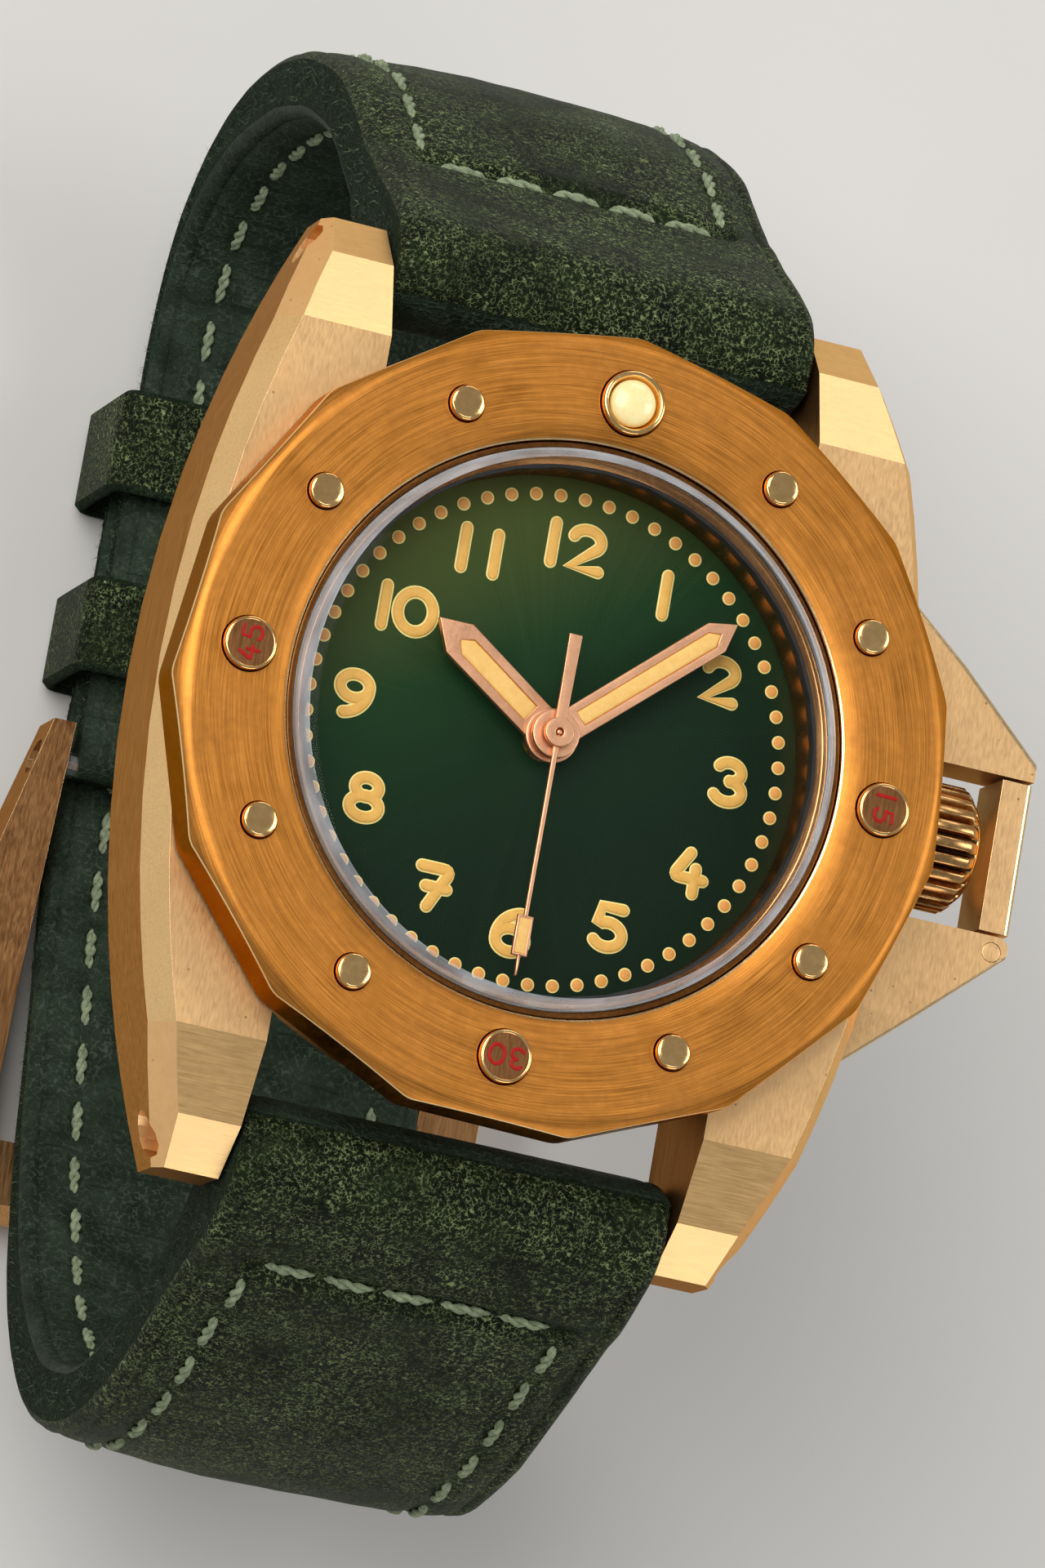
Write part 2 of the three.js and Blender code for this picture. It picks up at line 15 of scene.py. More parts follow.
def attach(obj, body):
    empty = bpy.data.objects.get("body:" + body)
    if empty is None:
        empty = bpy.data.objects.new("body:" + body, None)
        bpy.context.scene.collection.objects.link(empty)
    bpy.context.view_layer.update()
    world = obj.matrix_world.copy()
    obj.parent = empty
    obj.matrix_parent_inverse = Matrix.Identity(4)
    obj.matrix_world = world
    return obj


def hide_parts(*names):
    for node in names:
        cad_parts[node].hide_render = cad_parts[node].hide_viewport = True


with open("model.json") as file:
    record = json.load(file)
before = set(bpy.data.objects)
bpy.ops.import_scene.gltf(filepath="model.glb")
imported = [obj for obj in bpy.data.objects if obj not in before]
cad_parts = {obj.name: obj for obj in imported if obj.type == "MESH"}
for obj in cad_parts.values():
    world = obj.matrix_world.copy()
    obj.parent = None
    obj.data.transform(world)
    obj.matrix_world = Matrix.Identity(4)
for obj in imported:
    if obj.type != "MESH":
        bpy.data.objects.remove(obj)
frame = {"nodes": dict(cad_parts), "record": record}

MM = 0.001
scene = bpy.context.scene
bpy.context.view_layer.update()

# ---------------------------------------------------------------- dimensions shared with the CAD
REST_Z = -51.9                      # the level the watch stands on
BEZEL_SIDES = 15
BEZEL_RADIUS = 23                 # over the corners
BEZEL_REST = radians(-1.43)    # the bezel rests a little past 12
STUD_CIRCLE = 19
STUD_TOP = 16
DIAL_TOP = 11.2
CROWN_Z = 6.95
STRAP_HALF = 12.7
HOUR_ANGLE, MINUTE_ANGLE, SECOND_ANGLE = 304, 48, 180.4


# ---------------------------------------------------------------- mesh building
class Solid:
    """Points in millimetres and faces, each face with the number of its material."""

    def __init__(self):
        self.points, self.faces, self.paints = [], [], []

    def loft(self, rings, wrap=False, caps=True, paint=0):
        """Skins a list of closed rings of equal length. A ring of one point is a pole.

        paint is a material number, or a function of (ring number, place in the ring).
        """
        paint_of = paint if callable(paint) else (lambda i, j: paint)
        starts = []
        for ring in rings:
            starts.append(len(self.points))
            self.points.extend(ring)
        spans = len(rings) if wrap else len(rings) - 1
        for i in range(spans):
            k = (i + 1) % len(rings)
            a, b, na, nb = starts[i], starts[k], len(rings[i]), len(rings[k])
            for j in range(max(na, nb)):
                j2 = (j + 1) % max(na, nb)
                if na == 1:
                    face = (a, b + j2, b + j)
                elif nb == 1:
                    face = (a + j, a + j2, b)
                else:
                    face = (a + j, a + j2, b + j2, b + j)
                self.faces.append(face)
                self.paints.append(paint_of(i, j))
        if caps and not wrap:
            for i in (0, len(rings) - 1):
                if len(rings[i]) > 2:
                    order = range(len(rings[i]))
                    self.faces.append(tuple(starts[i] + j for j in (reversed(order) if i == 0 else order)))
                    self.paints.append(paint_of(min(i, len(rings) - 2), 0))
        return self

    def lathe(self, profile, segments=96, centre=(0, 0), paint=0):
        """Turns a profile of (radius, z) points about a line along Z. Radius 0 is a pole."""
        rings = [circle(r, z, segments, centre) if r > 0 else [(*centre, z)] for r, z in profile]
        on_axis = profile[0][0] == 0 or profile[-1][0] == 0
        return self.loft(rings, wrap=not on_axis, paint=paint)

    def prism(self, outline, z0, z1, edge, paint=0):
        """A plate with softened rims, from a convex outline of (x, y) points."""
        small = inset(outline, edge)
        rings = lift(small, z0), lift(outline, z0 + edge), lift(outline, z1 - edge), lift(small, z1)
        return self.loft(rings, paint=paint)

    def frame(self, outer, inner, z0, z1, edge=0.05, paint=0):
        """A flat frame between two outlines with the same number of points."""
        return self.loft([
            lift(outer, z0), lift(outer, z1 - edge), lift(inset(outer, edge), z1),
            lift(inset(inner, -edge), z1), lift(inner, z1 - edge), lift(inner, z0)], wrap=True, paint=paint)

    def move(self, matrix, since=0):
        """Moves the points from number since on."""
        for i in range(since, len(self.points)):
            self.points[i] = tuple(matrix @ Vector(self.points[i]))
        return self


def circle(radius, z, segments, centre=(0, 0)):
    steps = [2 * pi * i / segments for i in range(segments)]
    return [(centre[0] + radius * cos(a), centre[1] + radius * sin(a), z) for a in steps]


def lift(outline, z):
    return [(x, y, z) for x, y in outline]


def box(x0, x1, y0, y1):
    """The four corners of a rectangle."""
    return [(x0, y0), (x1, y0), (x1, y1), (x0, y1)]


def inset(outline, distance):
    """The outline moved inwards by that distance, mitred at its corners."""
    area = sum(a[0] * b[1] - b[0] * a[1] for a, b in zip(outline, outline[1:] + outline[:1]))
    turn = 1 if area > 0 else -1
    result = []
    for i, p in enumerate(outline):
        a, b = outline[i - 1], outline[(i + 1) % len(outline)]
        n1 = Vector((a[1] - p[1], p[0] - a[0])).normalized() * turn
        n2 = Vector((p[1] - b[1], b[0] - p[0])).normalized() * turn
        mitre = (n1 + n2) / max(0.3, 1 + n1.dot(n2))
        result.append((p[0] + mitre.x * distance, p[1] + mitre.y * distance))
    return result


def rounded(points, radius, steps=4, closed=True):
    """The polyline with each corner turned into a short curve. radius is one number, or one per corner."""
    result = []
    for i, point in enumerate(points):
        size = radius[i] if isinstance(radius, (list, tuple)) else radius
        if size == 0 or (not closed and i in (0, len(points) - 1)):
            result.append(tuple(point))
            continue
        p = Vector(point)
        to_a, to_b = Vector(points[i - 1]) - p, Vector(points[(i + 1) % len(points)]) - p
        reach = min(size, to_a.length * 0.45, to_b.length * 0.45)
        p0, p1 = p + to_a.normalized() * reach, p + to_b.normalized() * reach
        for k in range(steps + 1):
            t = k / steps
            result.append(tuple(p0 * (1 - t) ** 2 + p * 2 * t * (1 - t) + p1 * t ** 2))
    return result


def mesh_of(name, points, faces):
    """A mesh in metres from points in millimetres."""
    mesh = bpy.data.meshes.new(name)
    mesh.from_pydata([[c * MM for c in p] for p in points], [], faces)
    return mesh


def link(name, data):
    """A new object in the scene."""
    obj = bpy.data.objects.new(name, data)
    scene.collection.objects.link(obj)
    return obj


def even_shading(obj, sharp):
    """Smooth shading with hard edges above an angle in degrees."""
    obj.data.set_sharp_from_angle(angle=radians(sharp))
    obj.modifiers.new("even_shading", "WEIGHTED_NORMAL").keep_sharp = True


def build(name, solid, materials, body, stands_for=(), sharp=48):
    """Makes the piece from a solid and has it ride on a CAD body."""
    mesh = mesh_of(name, solid.points, solid.faces)
    mesh.polygons.foreach_set("material_index", solid.paints)
    bm = bmesh.new()
    bm.from_mesh(mesh)
    bmesh.ops.remove_doubles(bm, verts=bm.verts, dist=1e-8)
    bmesh.ops.recalc_face_normals(bm, faces=bm.faces)
    return place(name, mesh, bm, materials, body, stands_for, sharp)


def place(name, mesh, bm, materials, body, stands_for, sharp):
    """Makes the object, in place of the CAD nodes that it stands for."""
    bm.to_mesh(mesh)
    bm.free()
    for material in materials if isinstance(materials, (list, tuple)) else [materials]:
        mesh.materials.append(material)
    mesh.shade_smooth()
    obj = link(name, mesh)
    even_shading(obj, sharp)
    if stands_for:
        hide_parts(*stands_for)
    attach(obj, body)
    return obj


MERGE = 2e-6            # metres within which the CAD's points are one
FLAT_ANGLE = 0.7        # degrees below which neighbouring CAD faces are one flat face
BEVEL_ANGLE = 19        # degrees above which an edge of the CAD is bevelled
CUT_SHARP = 40


def refine(name, node, materials, body, bevels, sharp=40):
    """A finer copy of a CAD node: flat faces made whole, and its edges bevelled.

    bevels is a list of (width, test), where test says from an edge's middle if it takes that width.
    A third item, "free", lets that width run on past short edges. The bevel faces take the second material.
    """
    mesh = bpy.data.meshes.new(name)
    bm = bmesh.new()
    bm.from_mesh(frame["nodes"][node].data)
    bmesh.ops.remove_doubles(bm, verts=bm.verts, dist=MERGE)
    bmesh.ops.dissolve_limit(bm, angle_limit=radians(FLAT_ANGLE), verts=bm.verts, edges=bm.edges)
    for face in bm.faces:
        face.material_index = 0
    for width, test, *free in bevels:
        edges = [
            e for e in bm.edges
            if len(e.link_faces) == 2 and e.calc_face_angle(0) > radians(BEVEL_ANGLE)
            and test((e.verts[0].co + e.verts[1].co) / 2 / MM)]
        bmesh.ops.bevel(
            bm, geom=edges, offset=width * MM, offset_type="OFFSET", segments=2, profile=0.6,
            affect="EDGES", clamp_overlap=not free, material=1, loop_slide=True)
    return place(name, mesh, bm, materials, body, (node,), sharp)


def cut(obj, cutters):
    """Cuts solids out of a piece."""
    tool_mesh = mesh_of("cutter", cutters.points, cutters.faces)
    bm = bmesh.new()
    bm.from_mesh(tool_mesh)
    bmesh.ops.recalc_face_normals(bm, faces=bm.faces)
    bm.to_mesh(tool_mesh)
    bm.free()
    tool = link("cutter", tool_mesh)
    obj.modifiers.clear()
    trim = obj.modifiers.new("cut", "BOOLEAN")
    trim.object, trim.operation, trim.solver = tool, "DIFFERENCE", "EXACT"
    ready = obj.evaluated_get(bpy.context.evaluated_depsgraph_get())
    mesh = bpy.data.meshes.new_from_object(ready)
    obj.modifiers.remove(trim)
    bpy.data.objects.remove(tool)
    mesh.name = obj.data.name + "_cut"
    obj.data = mesh
    even_shading(obj, CUT_SHARP)


def spin_z(turn):
    """Turns by degrees about Z."""
    return Matrix.Rotation(radians(turn), 4, "Z")


def on_bezel(hour):
    """Centre of the stud at that hour."""
    angle = pi / 2 - hour * pi / 6 + BEZEL_REST
    return STUD_CIRCLE * cos(angle), STUD_CIRCLE * sin(angle)


# ---------------------------------------------------------------- strokes: numerals and threads
# the section of a stroke: (share of its half width, share of its height)
DOME = [(-1, 0), (-0.94, 0.5), (-0.7, 0.86), (0, 1), (0.7, 0.86), (0.94, 0.5), (1, 0)]


def arc(cx, cy, rx, ry, start, end, steps=20):
    """Points on an ellipse, its angles in degrees."""
    angles = [radians(start + (end - start) * i / steps) for i in range(steps + 1)]
    return [(cx + rx * cos(a), cy + ry * sin(a)) for a in angles]


def loop(cx, cy, rx, ry):
    return arc(cx, cy, rx, ry, 0, 360, 32)[:-1]


# the middle lines of plain rounded digits, one unit high: (width, [(closed, points), ...])
DIGITS = {
    "0": (0.72, [(True, loop(0.36, 0.5, 0.36, 0.5))]),
    "1": (0, [(False, [(0, 0), (0, 1)])]),
    "2": (0.6, [(False, arc(0.29, 0.72, 0.29, 0.28, 165, -38) + [(0, 0), (0.6, 0)])]),
    "3": (0.56, [
        (False, arc(0.25, 0.76, 0.25, 0.24, 150, -80)), (False, arc(0.26, 0.27, 0.3, 0.27, 85, -150))]),
    "4": (0.62, [(False, [(0.3, 1), (0, 0.36), (0.62, 0.36)]), (False, [(0.45, 0.62), (0.45, 0)])]),
    "5": (0.58, [
        (False, [(0.53, 1), (0.1, 1), (0.05, 0.56)] + arc(0.27, 0.31, 0.31, 0.31, 118, -145))]),
    "6": (0.6, [(True, loop(0.3, 0.3, 0.3, 0.3)), (False, arc(0.55, 0.34, 0.55, 0.66, 100, 178, 10))]),
    "7": (0.6, [(False, [(0, 0.98), (0.6, 0.98), (0.22, 0)]), (False, [(0.14, 0.5), (0.56, 0.5)])]),
    "8": (0.6, [(True, loop(0.3, 0.76, 0.24, 0.24)), (True, loop(0.3, 0.27, 0.3, 0.27))]),
    "9": (0.6, [(True, loop(0.3, 0.7, 0.3, 0.3)), (False, arc(0.05, 0.66, 0.55, 0.66, -80, -2, 10))]),
}


def ribbon(solid, path, closed, half, height, z, paint=0):
    """A domed ribbon with round ends, along a path of (x, y) points at height z."""
    def section(spot, width=1, shift=0):
        at, side, along = spot
        at = at + along * shift
        return [tuple(at + side * (half * width * u)) + (z + height * v,) for u, v in DOME]

    points = [Vector(p) for p in path]
    spots = []
    for i, p in enumerate(points):
        before = points[i - 1] if closed or i else p
        after = points[(i + 1) % len(points)] if closed or i < len(points) - 1 else p
        along = (after - before).normalized()
        spots.append((p, Vector((-along.y, along.x)), along))
    middle = [section(spot) for spot in spots]
    if closed:
        solid.loft(middle, wrap=True, paint=paint)
        return
    caps = [(cos(radians(a)), sin(radians(a))) for a in (25, 50, 72)]
    start = [section(spots[0], w, -half * s) for w, s in reversed(caps)]
    end = [section(spots[-1], w, half * s) for w, s in caps]
    ends = ((spots[0], -1), (spots[-1], 1))
    tips = [[tuple(p + along * sign * half) + (z,)] for (p, _, along), sign in ends]
    solid.loft([tips[0]] + start + middle + end + [tips[1]], paint=paint)


def write(solid, text, centre, height, half, domed, z, gap, wide, turn=0, paint=0):
    """Writes digits centred on a point, turned by degrees.

    height is that of the middle lines, half half a stroke, gap between digits and wide a stretch across.
    """
    widths = [DIGITS[c][0] * wide for c in text]
    total = sum(widths) + gap * (len(text) - 1)
    start = len(solid.points)
    x = -total / 2
    for char, width in zip(text, widths):
        for closed, path in DIGITS[char][1]:
            line = [((px * wide + x) * height, (py - 0.5) * height) for px, py in path]
            if not closed and len(line) < 12:
                line = rounded(line, half * 1.2, 5, closed=False)
            ribbon(solid, line, closed, half, domed, z, paint)
        x += width + gap
    return solid.move(Matrix.Translation((centre[0], centre[1], 0)) @ spin_z(turn), start)


# ---------------------------------------------------------------- materials
class Shader:
    """A Principled material and short names for the nodes that feed it."""

    def __init__(self, name):
        self.material = bpy.data.materials.new(name)
        self.material.use_nodes = True
        self.nodes, self.links = self.material.node_tree.nodes, self.material.node_tree.links
        self.nodes.clear()
        self.output = self.node("OutputMaterial")
        self.principled = self.node("BsdfPrincipled")
        self.links.new(self.principled.outputs[0], self.output.inputs["Surface"])
        where = self.node("TexCoord").outputs["Object"]
        self.place = self.vector("SCALE", where, scale=1 / MM)     # millimetres in the row frame

    def node(self, kind, inputs=None, **settings):
        made = self.nodes.new("ShaderNode" + kind)
        for key, value in settings.items():
            setattr(made, key, value)
        for key, value in (inputs or {}).items():
            self.feed(made.inputs[key], value)
        return made

    def feed(self, socket, value):
        """Links or sets an input. A colour may come without its alpha."""
        if isinstance(value, bpy.types.NodeSocket):
            self.links.new(value, socket)
        elif socket.type == "RGBA" and len(value) == 3:
            socket.default_value = (*value, 1)
        else:
            socket.default_value = value

    def vector(self, operation, a, b=None, scale=None):
        made = self.node("VectorMath", operation=operation)
        self.feed(made.inputs[0], a)
        if b is not None:
            self.feed(made.inputs[1], b)
        if scale is not None:
            made.inputs["Scale"].default_value = scale
        return made.outputs["Value" if operation in ("LENGTH", "DOT_PRODUCT") else "Vector"]

    def maths(self, operation, a, b=0, clamp=False):
        made = self.node("Math", operation=operation, use_clamp=clamp)
        self.feed(made.inputs[0], a)
        self.feed(made.inputs[1], b)
        return made.outputs[0]

    def add(self, a, b, clamp=False):
        return self.maths("ADD", a, b, clamp)

    def times(self, a, b, clamp=False):
        return self.maths("MULTIPLY", a, b, clamp)

    def noise(self, scale, detail, roughness, at=None, distortion=0):
        return self.node("TexNoise", {
            "Vector": at or self.place, "Scale": scale, "Detail": detail, "Roughness": roughness,
            "Distortion": distortion}).outputs["Fac"]

    def cells(self, scale, at=None, feature="F1"):
        made = self.node("TexVoronoi", {"Vector": at or self.place, "Scale": scale}, feature=feature)
        return made.outputs["Distance"]

    def range(self, value, low, high, to_low=0, to_high=1):
        limits = {"From Min": low, "From Max": high, "To Min": to_low, "To Max": to_high}
        return self.node("MapRange", {"Value": value, **limits}).outputs[0]

    def mix(self, factor, a, b):
        """Colour a where the factor is 0 and b where it is 1. 6, 7 and 2 are the node's colour sockets."""
        return self.node("Mix", {0: factor, 6: a, 7: b}, data_type="RGBA").outputs[2]

    def bump(self, height, depth, normal=None):
        """depth is in millimetres for a height from 0 to 1."""
        inputs = {"Height": height, "Distance": depth * MM, "Strength": 1}
        if normal is not None:
            inputs["Normal"] = normal
        return self.node("Bump", inputs).outputs["Normal"]

    def stretch(self, factors):
        return self.vector("MULTIPLY", self.place, factors)

    def around(self, across, along):
        """Coordinates for marks that run round the Z axis: fine in radius, long in angle."""
        flat = self.stretch((1, 1, 0))
        radius = self.vector("LENGTH", flat)
        bearing = self.vector("SCALE", self.vector("NORMALIZE", flat), scale=along)
        parts = self.node("SeparateXYZ", {0: bearing})
        return self.node("CombineXYZ", {
            0: self.times(radius, across), 1: parts.outputs[0], 2: parts.outputs[1]}).outputs[0]

    def surface(self, **inputs):
        names = {
            "colour": "Base Color", "metal": "Metallic", "rough": "Roughness", "normal": "Normal",
            "coat": "Coat Weight", "coat_rough": "Coat Roughness", "specular": "Specular IOR Level",
            "edge": "Specular Tint"}
        for key, value in inputs.items():
            self.feed(self.principled.inputs[names[key]], value)
        return self.material


EDGE_TINT = (0.8, 0.52, 0.3)      # keeps bronze warm where it is seen at a grazing angle


def metal(name, light, dark, rough, grain=(2.5, 2.5, 2.5), grain_depth=0.003, stain=None, stain_share=0.35,
          pits=0, lines=0.45, edge=EDGE_TINT):
    """Bronze or steel with clouded tarnish and brush marks.

    grain is a stretch of the coordinates in marks per millimetre, or "ring" for marks round the Z axis.
    lines is the share of the marks in the colour, and edge the tint of the metal at a grazing angle.
    """
    s = Shader(name)
    cloud = s.noise(0.22, 4, 0.6)
    mottle = s.noise(1.6, 3, 0.6)
    at = s.around(15, 4.5) if grain == "ring" else s.stretch(grain)
    marks = s.noise(1, 4, 0.65, at=at)
    tone = s.add(s.times(cloud, 1 - lines), s.times(marks, lines))
    colour = s.mix(s.range(tone, 0.36, 0.64), dark, light)
    if stain is not None:
        blotch = s.add(cloud, s.times(mottle, 0.35))
        patch = s.range(blotch, 0.62, 0.95, 0, stain_share)
        colour = s.mix(patch, colour, stain)
    height = marks
    if pits:
        hole = s.range(s.cells(0.9), 0.02, 0.09)
        colour = s.mix(hole, tuple(c * 0.35 for c in dark), colour)
        height = s.add(marks, s.times(hole, pits))
    drift = s.range(cloud, 0.3, 0.7, -0.03, 0.04)
    roughness = s.add(s.range(marks, 0.3, 0.7, rough - 0.06, rough + 0.07), drift, clamp=True)
    normal = s.bump(height, grain_depth)
    return s.surface(colour=colour, metal=1, rough=roughness, normal=normal, edge=edge)


def leather(name, dark, mid, pale, rub, grain, depth, creases):
    """Dyed leather: a fine net of ridges, pale on them in patches as rubbed dye and painted highlight, and
    creases across darkened with painted shade.
    """
    s = Shader(name)
    drift = s.node("TexNoise", {"Vector": s.place, "Scale": 1.4, "Detail": 2}).outputs["Color"]
    warped = s.vector("ADD", s.place, s.vector("SCALE", drift, scale=0.55))
    ridge = s.range(s.cells(grain, at=warped, feature="DISTANCE_TO_EDGE"), 0.15, 0.02)
    fibre = s.noise(9, 3, 0.65)
    broken = s.range(s.noise(3.4, 2, 0.5), 0.42, 0.56)
    patch = s.noise(0.15, 4, 0.6, distortion=0.8)
    fold = s.noise(1, 4, 0.62, at=s.stretch((0.16, 1.5, 1.5)), distortion=0.6)
    base = s.mix(s.range(s.noise(0.4, 4, 0.6), 0.34, 0.68), dark, mid)
    # The pale net on the ridges is partly rubbed dye and partly a painted highlight on the grain.
    net = s.times(ridge, broken)
    rubbed_and_highlit = s.add(net, s.range(fibre, 0.58, 0.8, 0, 0.3), clamp=True)
    share = s.times(rubbed_and_highlit, s.range(patch, 0.34, 0.68, 0.2 * rub, rub), clamp=True)
    colour = s.mix(share, base, pale)
    # Along the creases the colour goes to the dark: painted shade in the creases.
    colour = s.mix(s.range(fold, 0.43, 0.3, 0, creases), colour, dark)
    height = s.add(s.times(ridge, 0.8), s.times(fibre, 0.45))
    normal = s.bump(height, depth, s.bump(fold, 0.16 * creases))
    rough = s.range(share, 0, 0.6, 0.52, 0.85)
    return s.surface(colour=colour, rough=rough, normal=normal, specular=0.09)


def cloth_edge():
    """The raw cut edge of the leather: fuzzy fibres over two pressed layers."""
    s = Shader("leather_cut_edge")
    fuzz = s.noise(7, 5, 0.75, distortion=0.8)
    clump = s.noise(1.3, 4, 0.65)
    colour = s.mix(s.range(fuzz, 0.46, 0.66), (0.006, 0.013, 0.006), (0.09, 0.125, 0.07))
    colour = s.mix(s.range(clump, 0.35, 0.65, 0, 0.7), colour, (0.01, 0.02, 0.01))
    height = s.add(fuzz, s.times(clump, 1.2))
    return s.surface(colour=colour, rough=0.95, normal=s.bump(height, 0.32), specular=0.08)


def plain(name, light, dark, rough, grain, depth, specular=0.5, coat=0):
    """Lume, enamel, rubber and thread: a little mottled and a little uneven."""
    s = Shader(name)
    mottle = s.noise(grain, 4, 0.6)
    speck = s.noise(grain * 7, 3, 0.6)
    tone = s.add(s.times(mottle, 0.6), s.times(speck, 0.4))
    colour = s.mix(s.range(tone, 0.35, 0.65), dark, light)
    roughness = s.range(speck, 0.3, 0.7, rough - 0.05, rough + 0.08)
    return s.surface(colour=colour, rough=roughness, normal=s.bump(speck, depth), specular=specular,
                     coat=coat, coat_rough=0.1)


def dial_lacquer():
    """Sunray-brushed green lacquer with its sheen painted in: olive towards 11 o'clock and nearly black
    towards 5.
    """
    s = Shader("dial_green_sunray_painted_sheen")
    # A straight gradient across the dial: painted sheen towards 11 o'clock and painted shade towards 5.
    sheen_slope = s.vector("DOT_PRODUCT", s.place, (-0.52, 0.85, 0))
    wide = s.range(sheen_slope, -9, 15)
    bearing = s.vector("NORMALIZE", s.stretch((1, 1, 0)))
    rays = s.noise(1, 3, 0.6, at=s.vector("SCALE", bearing, scale=46))
    streak = s.range(rays, 0.3, 0.7, -0.035, 0.035)
    tone = s.add(s.maths("POWER", wide, 1.7, clamp=True), streak, clamp=True)
    shade_green = s.mix(s.range(tone, 0, 0.4), (0.0018, 0.0125, 0.0035), (0.0055, 0.032, 0.0075))
    colour = s.mix(s.range(tone, 0.4, 1), shade_green, (0.075, 0.095, 0.018))
    roughness = s.range(rays, 0.3, 0.7, 0.36, 0.46)
    return s.surface(colour=colour, rough=roughness, normal=s.bump(rays, 0.002), specular=0.15)


def clear(name, tint, mirror, veil=0, veil_colour=None):
    """Glass that doesn't bend what is behind it: clear, with a mirror coat that grows to the rim.

    mirror is the coat's index of refraction, and veil the share of a matte grey over it, a painted
    reflection.
    """
    s = Shader(name)
    see = s.node("BsdfTransparent", {"Color": tint})
    gloss = s.node("BsdfGlossy", {"Color": (1, 1, 1), "Roughness": 0.02})
    fresnel = s.node("Fresnel", {"IOR": mirror})
    result = s.node("MixShader", {0: fresnel.outputs[0], 1: see.outputs[0], 2: gloss.outputs[0]})
    if veil:
        # Streaks of matte grey over the glass: painted reflection on the crystal's rim.
        painted_streaks = s.noise(0.9, 3, 0.5, at=s.around(1.5, 5))
        matte = s.node("BsdfDiffuse", {"Color": veil_colour})
        share = s.range(painted_streaks, 0.35, 0.65, veil * 0.5, veil)
        result = s.node("MixShader", {0: share, 1: result.outputs[0], 2: matte.outputs[0]})
    s.links.new(result.outputs[0], s.output.inputs["Surface"])
    s.nodes.remove(s.principled)
    return s.material


BLAST = metal("bronze_blasted", (0.98, 0.64, 0.31), (0.86, 0.53, 0.24), 0.42, (9, 1.6, 9), 0.002,
              stain=(0.64, 0.34, 0.13), stain_share=0.4, pits=0.1, lines=0.35)
FACET = metal("bronze_facet", (0.97, 0.64, 0.29), (0.82, 0.5, 0.2), 0.42, (0.5, 9, 9), 0.002,
              stain=(0.5, 0.26, 0.09), stain_share=0.3, lines=0.6)
# Dark brushed bronze: its low albedo is painted shade on the case's upright walls; the buckle, tongue and
# back share it.
BRUSH_SHADED = metal("bronze_brushed_painted_shade", (0.56, 0.31, 0.135), (0.33, 0.17, 0.068), 0.38, (8, 0.22, 8), 0.005,
                stain=(0.24, 0.115, 0.042), lines=0.7, edge=(0.66, 0.44, 0.28))
POLISH = metal("bronze_polished", (0.92, 0.6, 0.25), (0.84, 0.51, 0.19), 0.14, (2, 2, 2), 0.0002)
# A lighter, unstained copy of the facet bronze: painted highlight on the facets and flank chamfers that
# face the lamps.
SATIN_LIT = metal("bronze_satin_painted_highlight", (0.95, 0.67, 0.33), (0.8, 0.52, 0.23), 0.42, (0.5, 8, 8), lines=0.7)
GOLD = metal("bronze_bright_edge", (0.97, 0.72, 0.4), (0.88, 0.6, 0.28), 0.22, (3, 3, 3), 0.0005)
PATINA = metal("bronze_ring_brushed", (0.76, 0.32, 0.062), (0.4, 0.15, 0.024), 0.45, "ring", 0.006,
               stain=(0.26, 0.098, 0.022), stain_share=0.6, lines=0.6, edge=(0.8, 0.48, 0.2))
# Near-black bronze used as painted shade: on the bezel's underside, side wall and bore, and on the ring in
# the gap round the crystal.
SHADE_BRONZE = metal("bronze_painted_shade", (0.26, 0.105, 0.028), (0.14, 0.052, 0.013), 0.32, (4, 4, 0.8), 0.002)
STUD_FACE = metal("bronze_stud_face", (0.34, 0.155, 0.058), (0.22, 0.095, 0.034), 0.36, (8, 0.8, 2))
REHAUT_BRONZE = metal("bronze_rehaut", (0.62, 0.33, 0.14), (0.4, 0.19, 0.07), 0.24, "ring", 0.001)
CROWN_BRONZE = metal("bronze_crown", (0.66, 0.38, 0.155), (0.46, 0.25, 0.09), 0.27, (3, 3, 3), 0.001,
                     stain=(0.24, 0.12, 0.042), stain_share=0.3)
# Near-black bronze for the floors of the crown's grooves: painted shade in the grooves.
CROWN_GROOVE_SHADE = metal("bronze_crown_groove_painted_shade", (0.07, 0.034, 0.012), (0.035, 0.016, 0.006), 0.5)
COPPER = metal("rose_copper_frosted", (0.96, 0.54, 0.32), (0.84, 0.43, 0.24), 0.4, (9, 9, 9), 0.006)
STEEL = metal("steel_satin", (0.66, 0.66, 0.68), (0.5, 0.5, 0.52), 0.28, (6, 0.6, 6), 0.002,
              edge=(1, 1, 1))
BRASS = metal("brass_satin", (0.84, 0.68, 0.36), (0.66, 0.5, 0.24), 0.26, (5, 5, 5), 0.002)
LUME = plain("lume_cream", (0.86, 0.55, 0.17), (0.76, 0.44, 0.11), 0.62, 2.2, 0.012)
PEARL = plain("lume_pearl", (0.94, 0.8, 0.42), (0.86, 0.68, 0.3), 0.35, 1, 0.004, coat=0.5)
NUMERAL = plain("lume_gold", (0.8, 0.46, 0.1), (0.7, 0.37, 0.065), 0.6, 2, 0.012)
OUTLINE = plain("lume_outline", (0.9, 0.76, 0.28), (0.82, 0.66, 0.2), 0.55, 2, 0.006)
DOT = plain("lume_dot", (0.8, 0.38, 0.09), (0.7, 0.3, 0.06), 0.6, 2, 0.012)
RED = plain("red_enamel", (0.4, 0.006, 0.004), (0.26, 0.004, 0.003), 0.5, 3, 0.004, specular=0.2)
BLACK = plain("black_rubber", (0.018, 0.018, 0.018), (0.008, 0.008, 0.008), 0.6, 1.5, 0.01)
DIAL = dial_lacquer()
CRYSTAL = clear("crystal_clear", (1, 1, 1), 1.13)
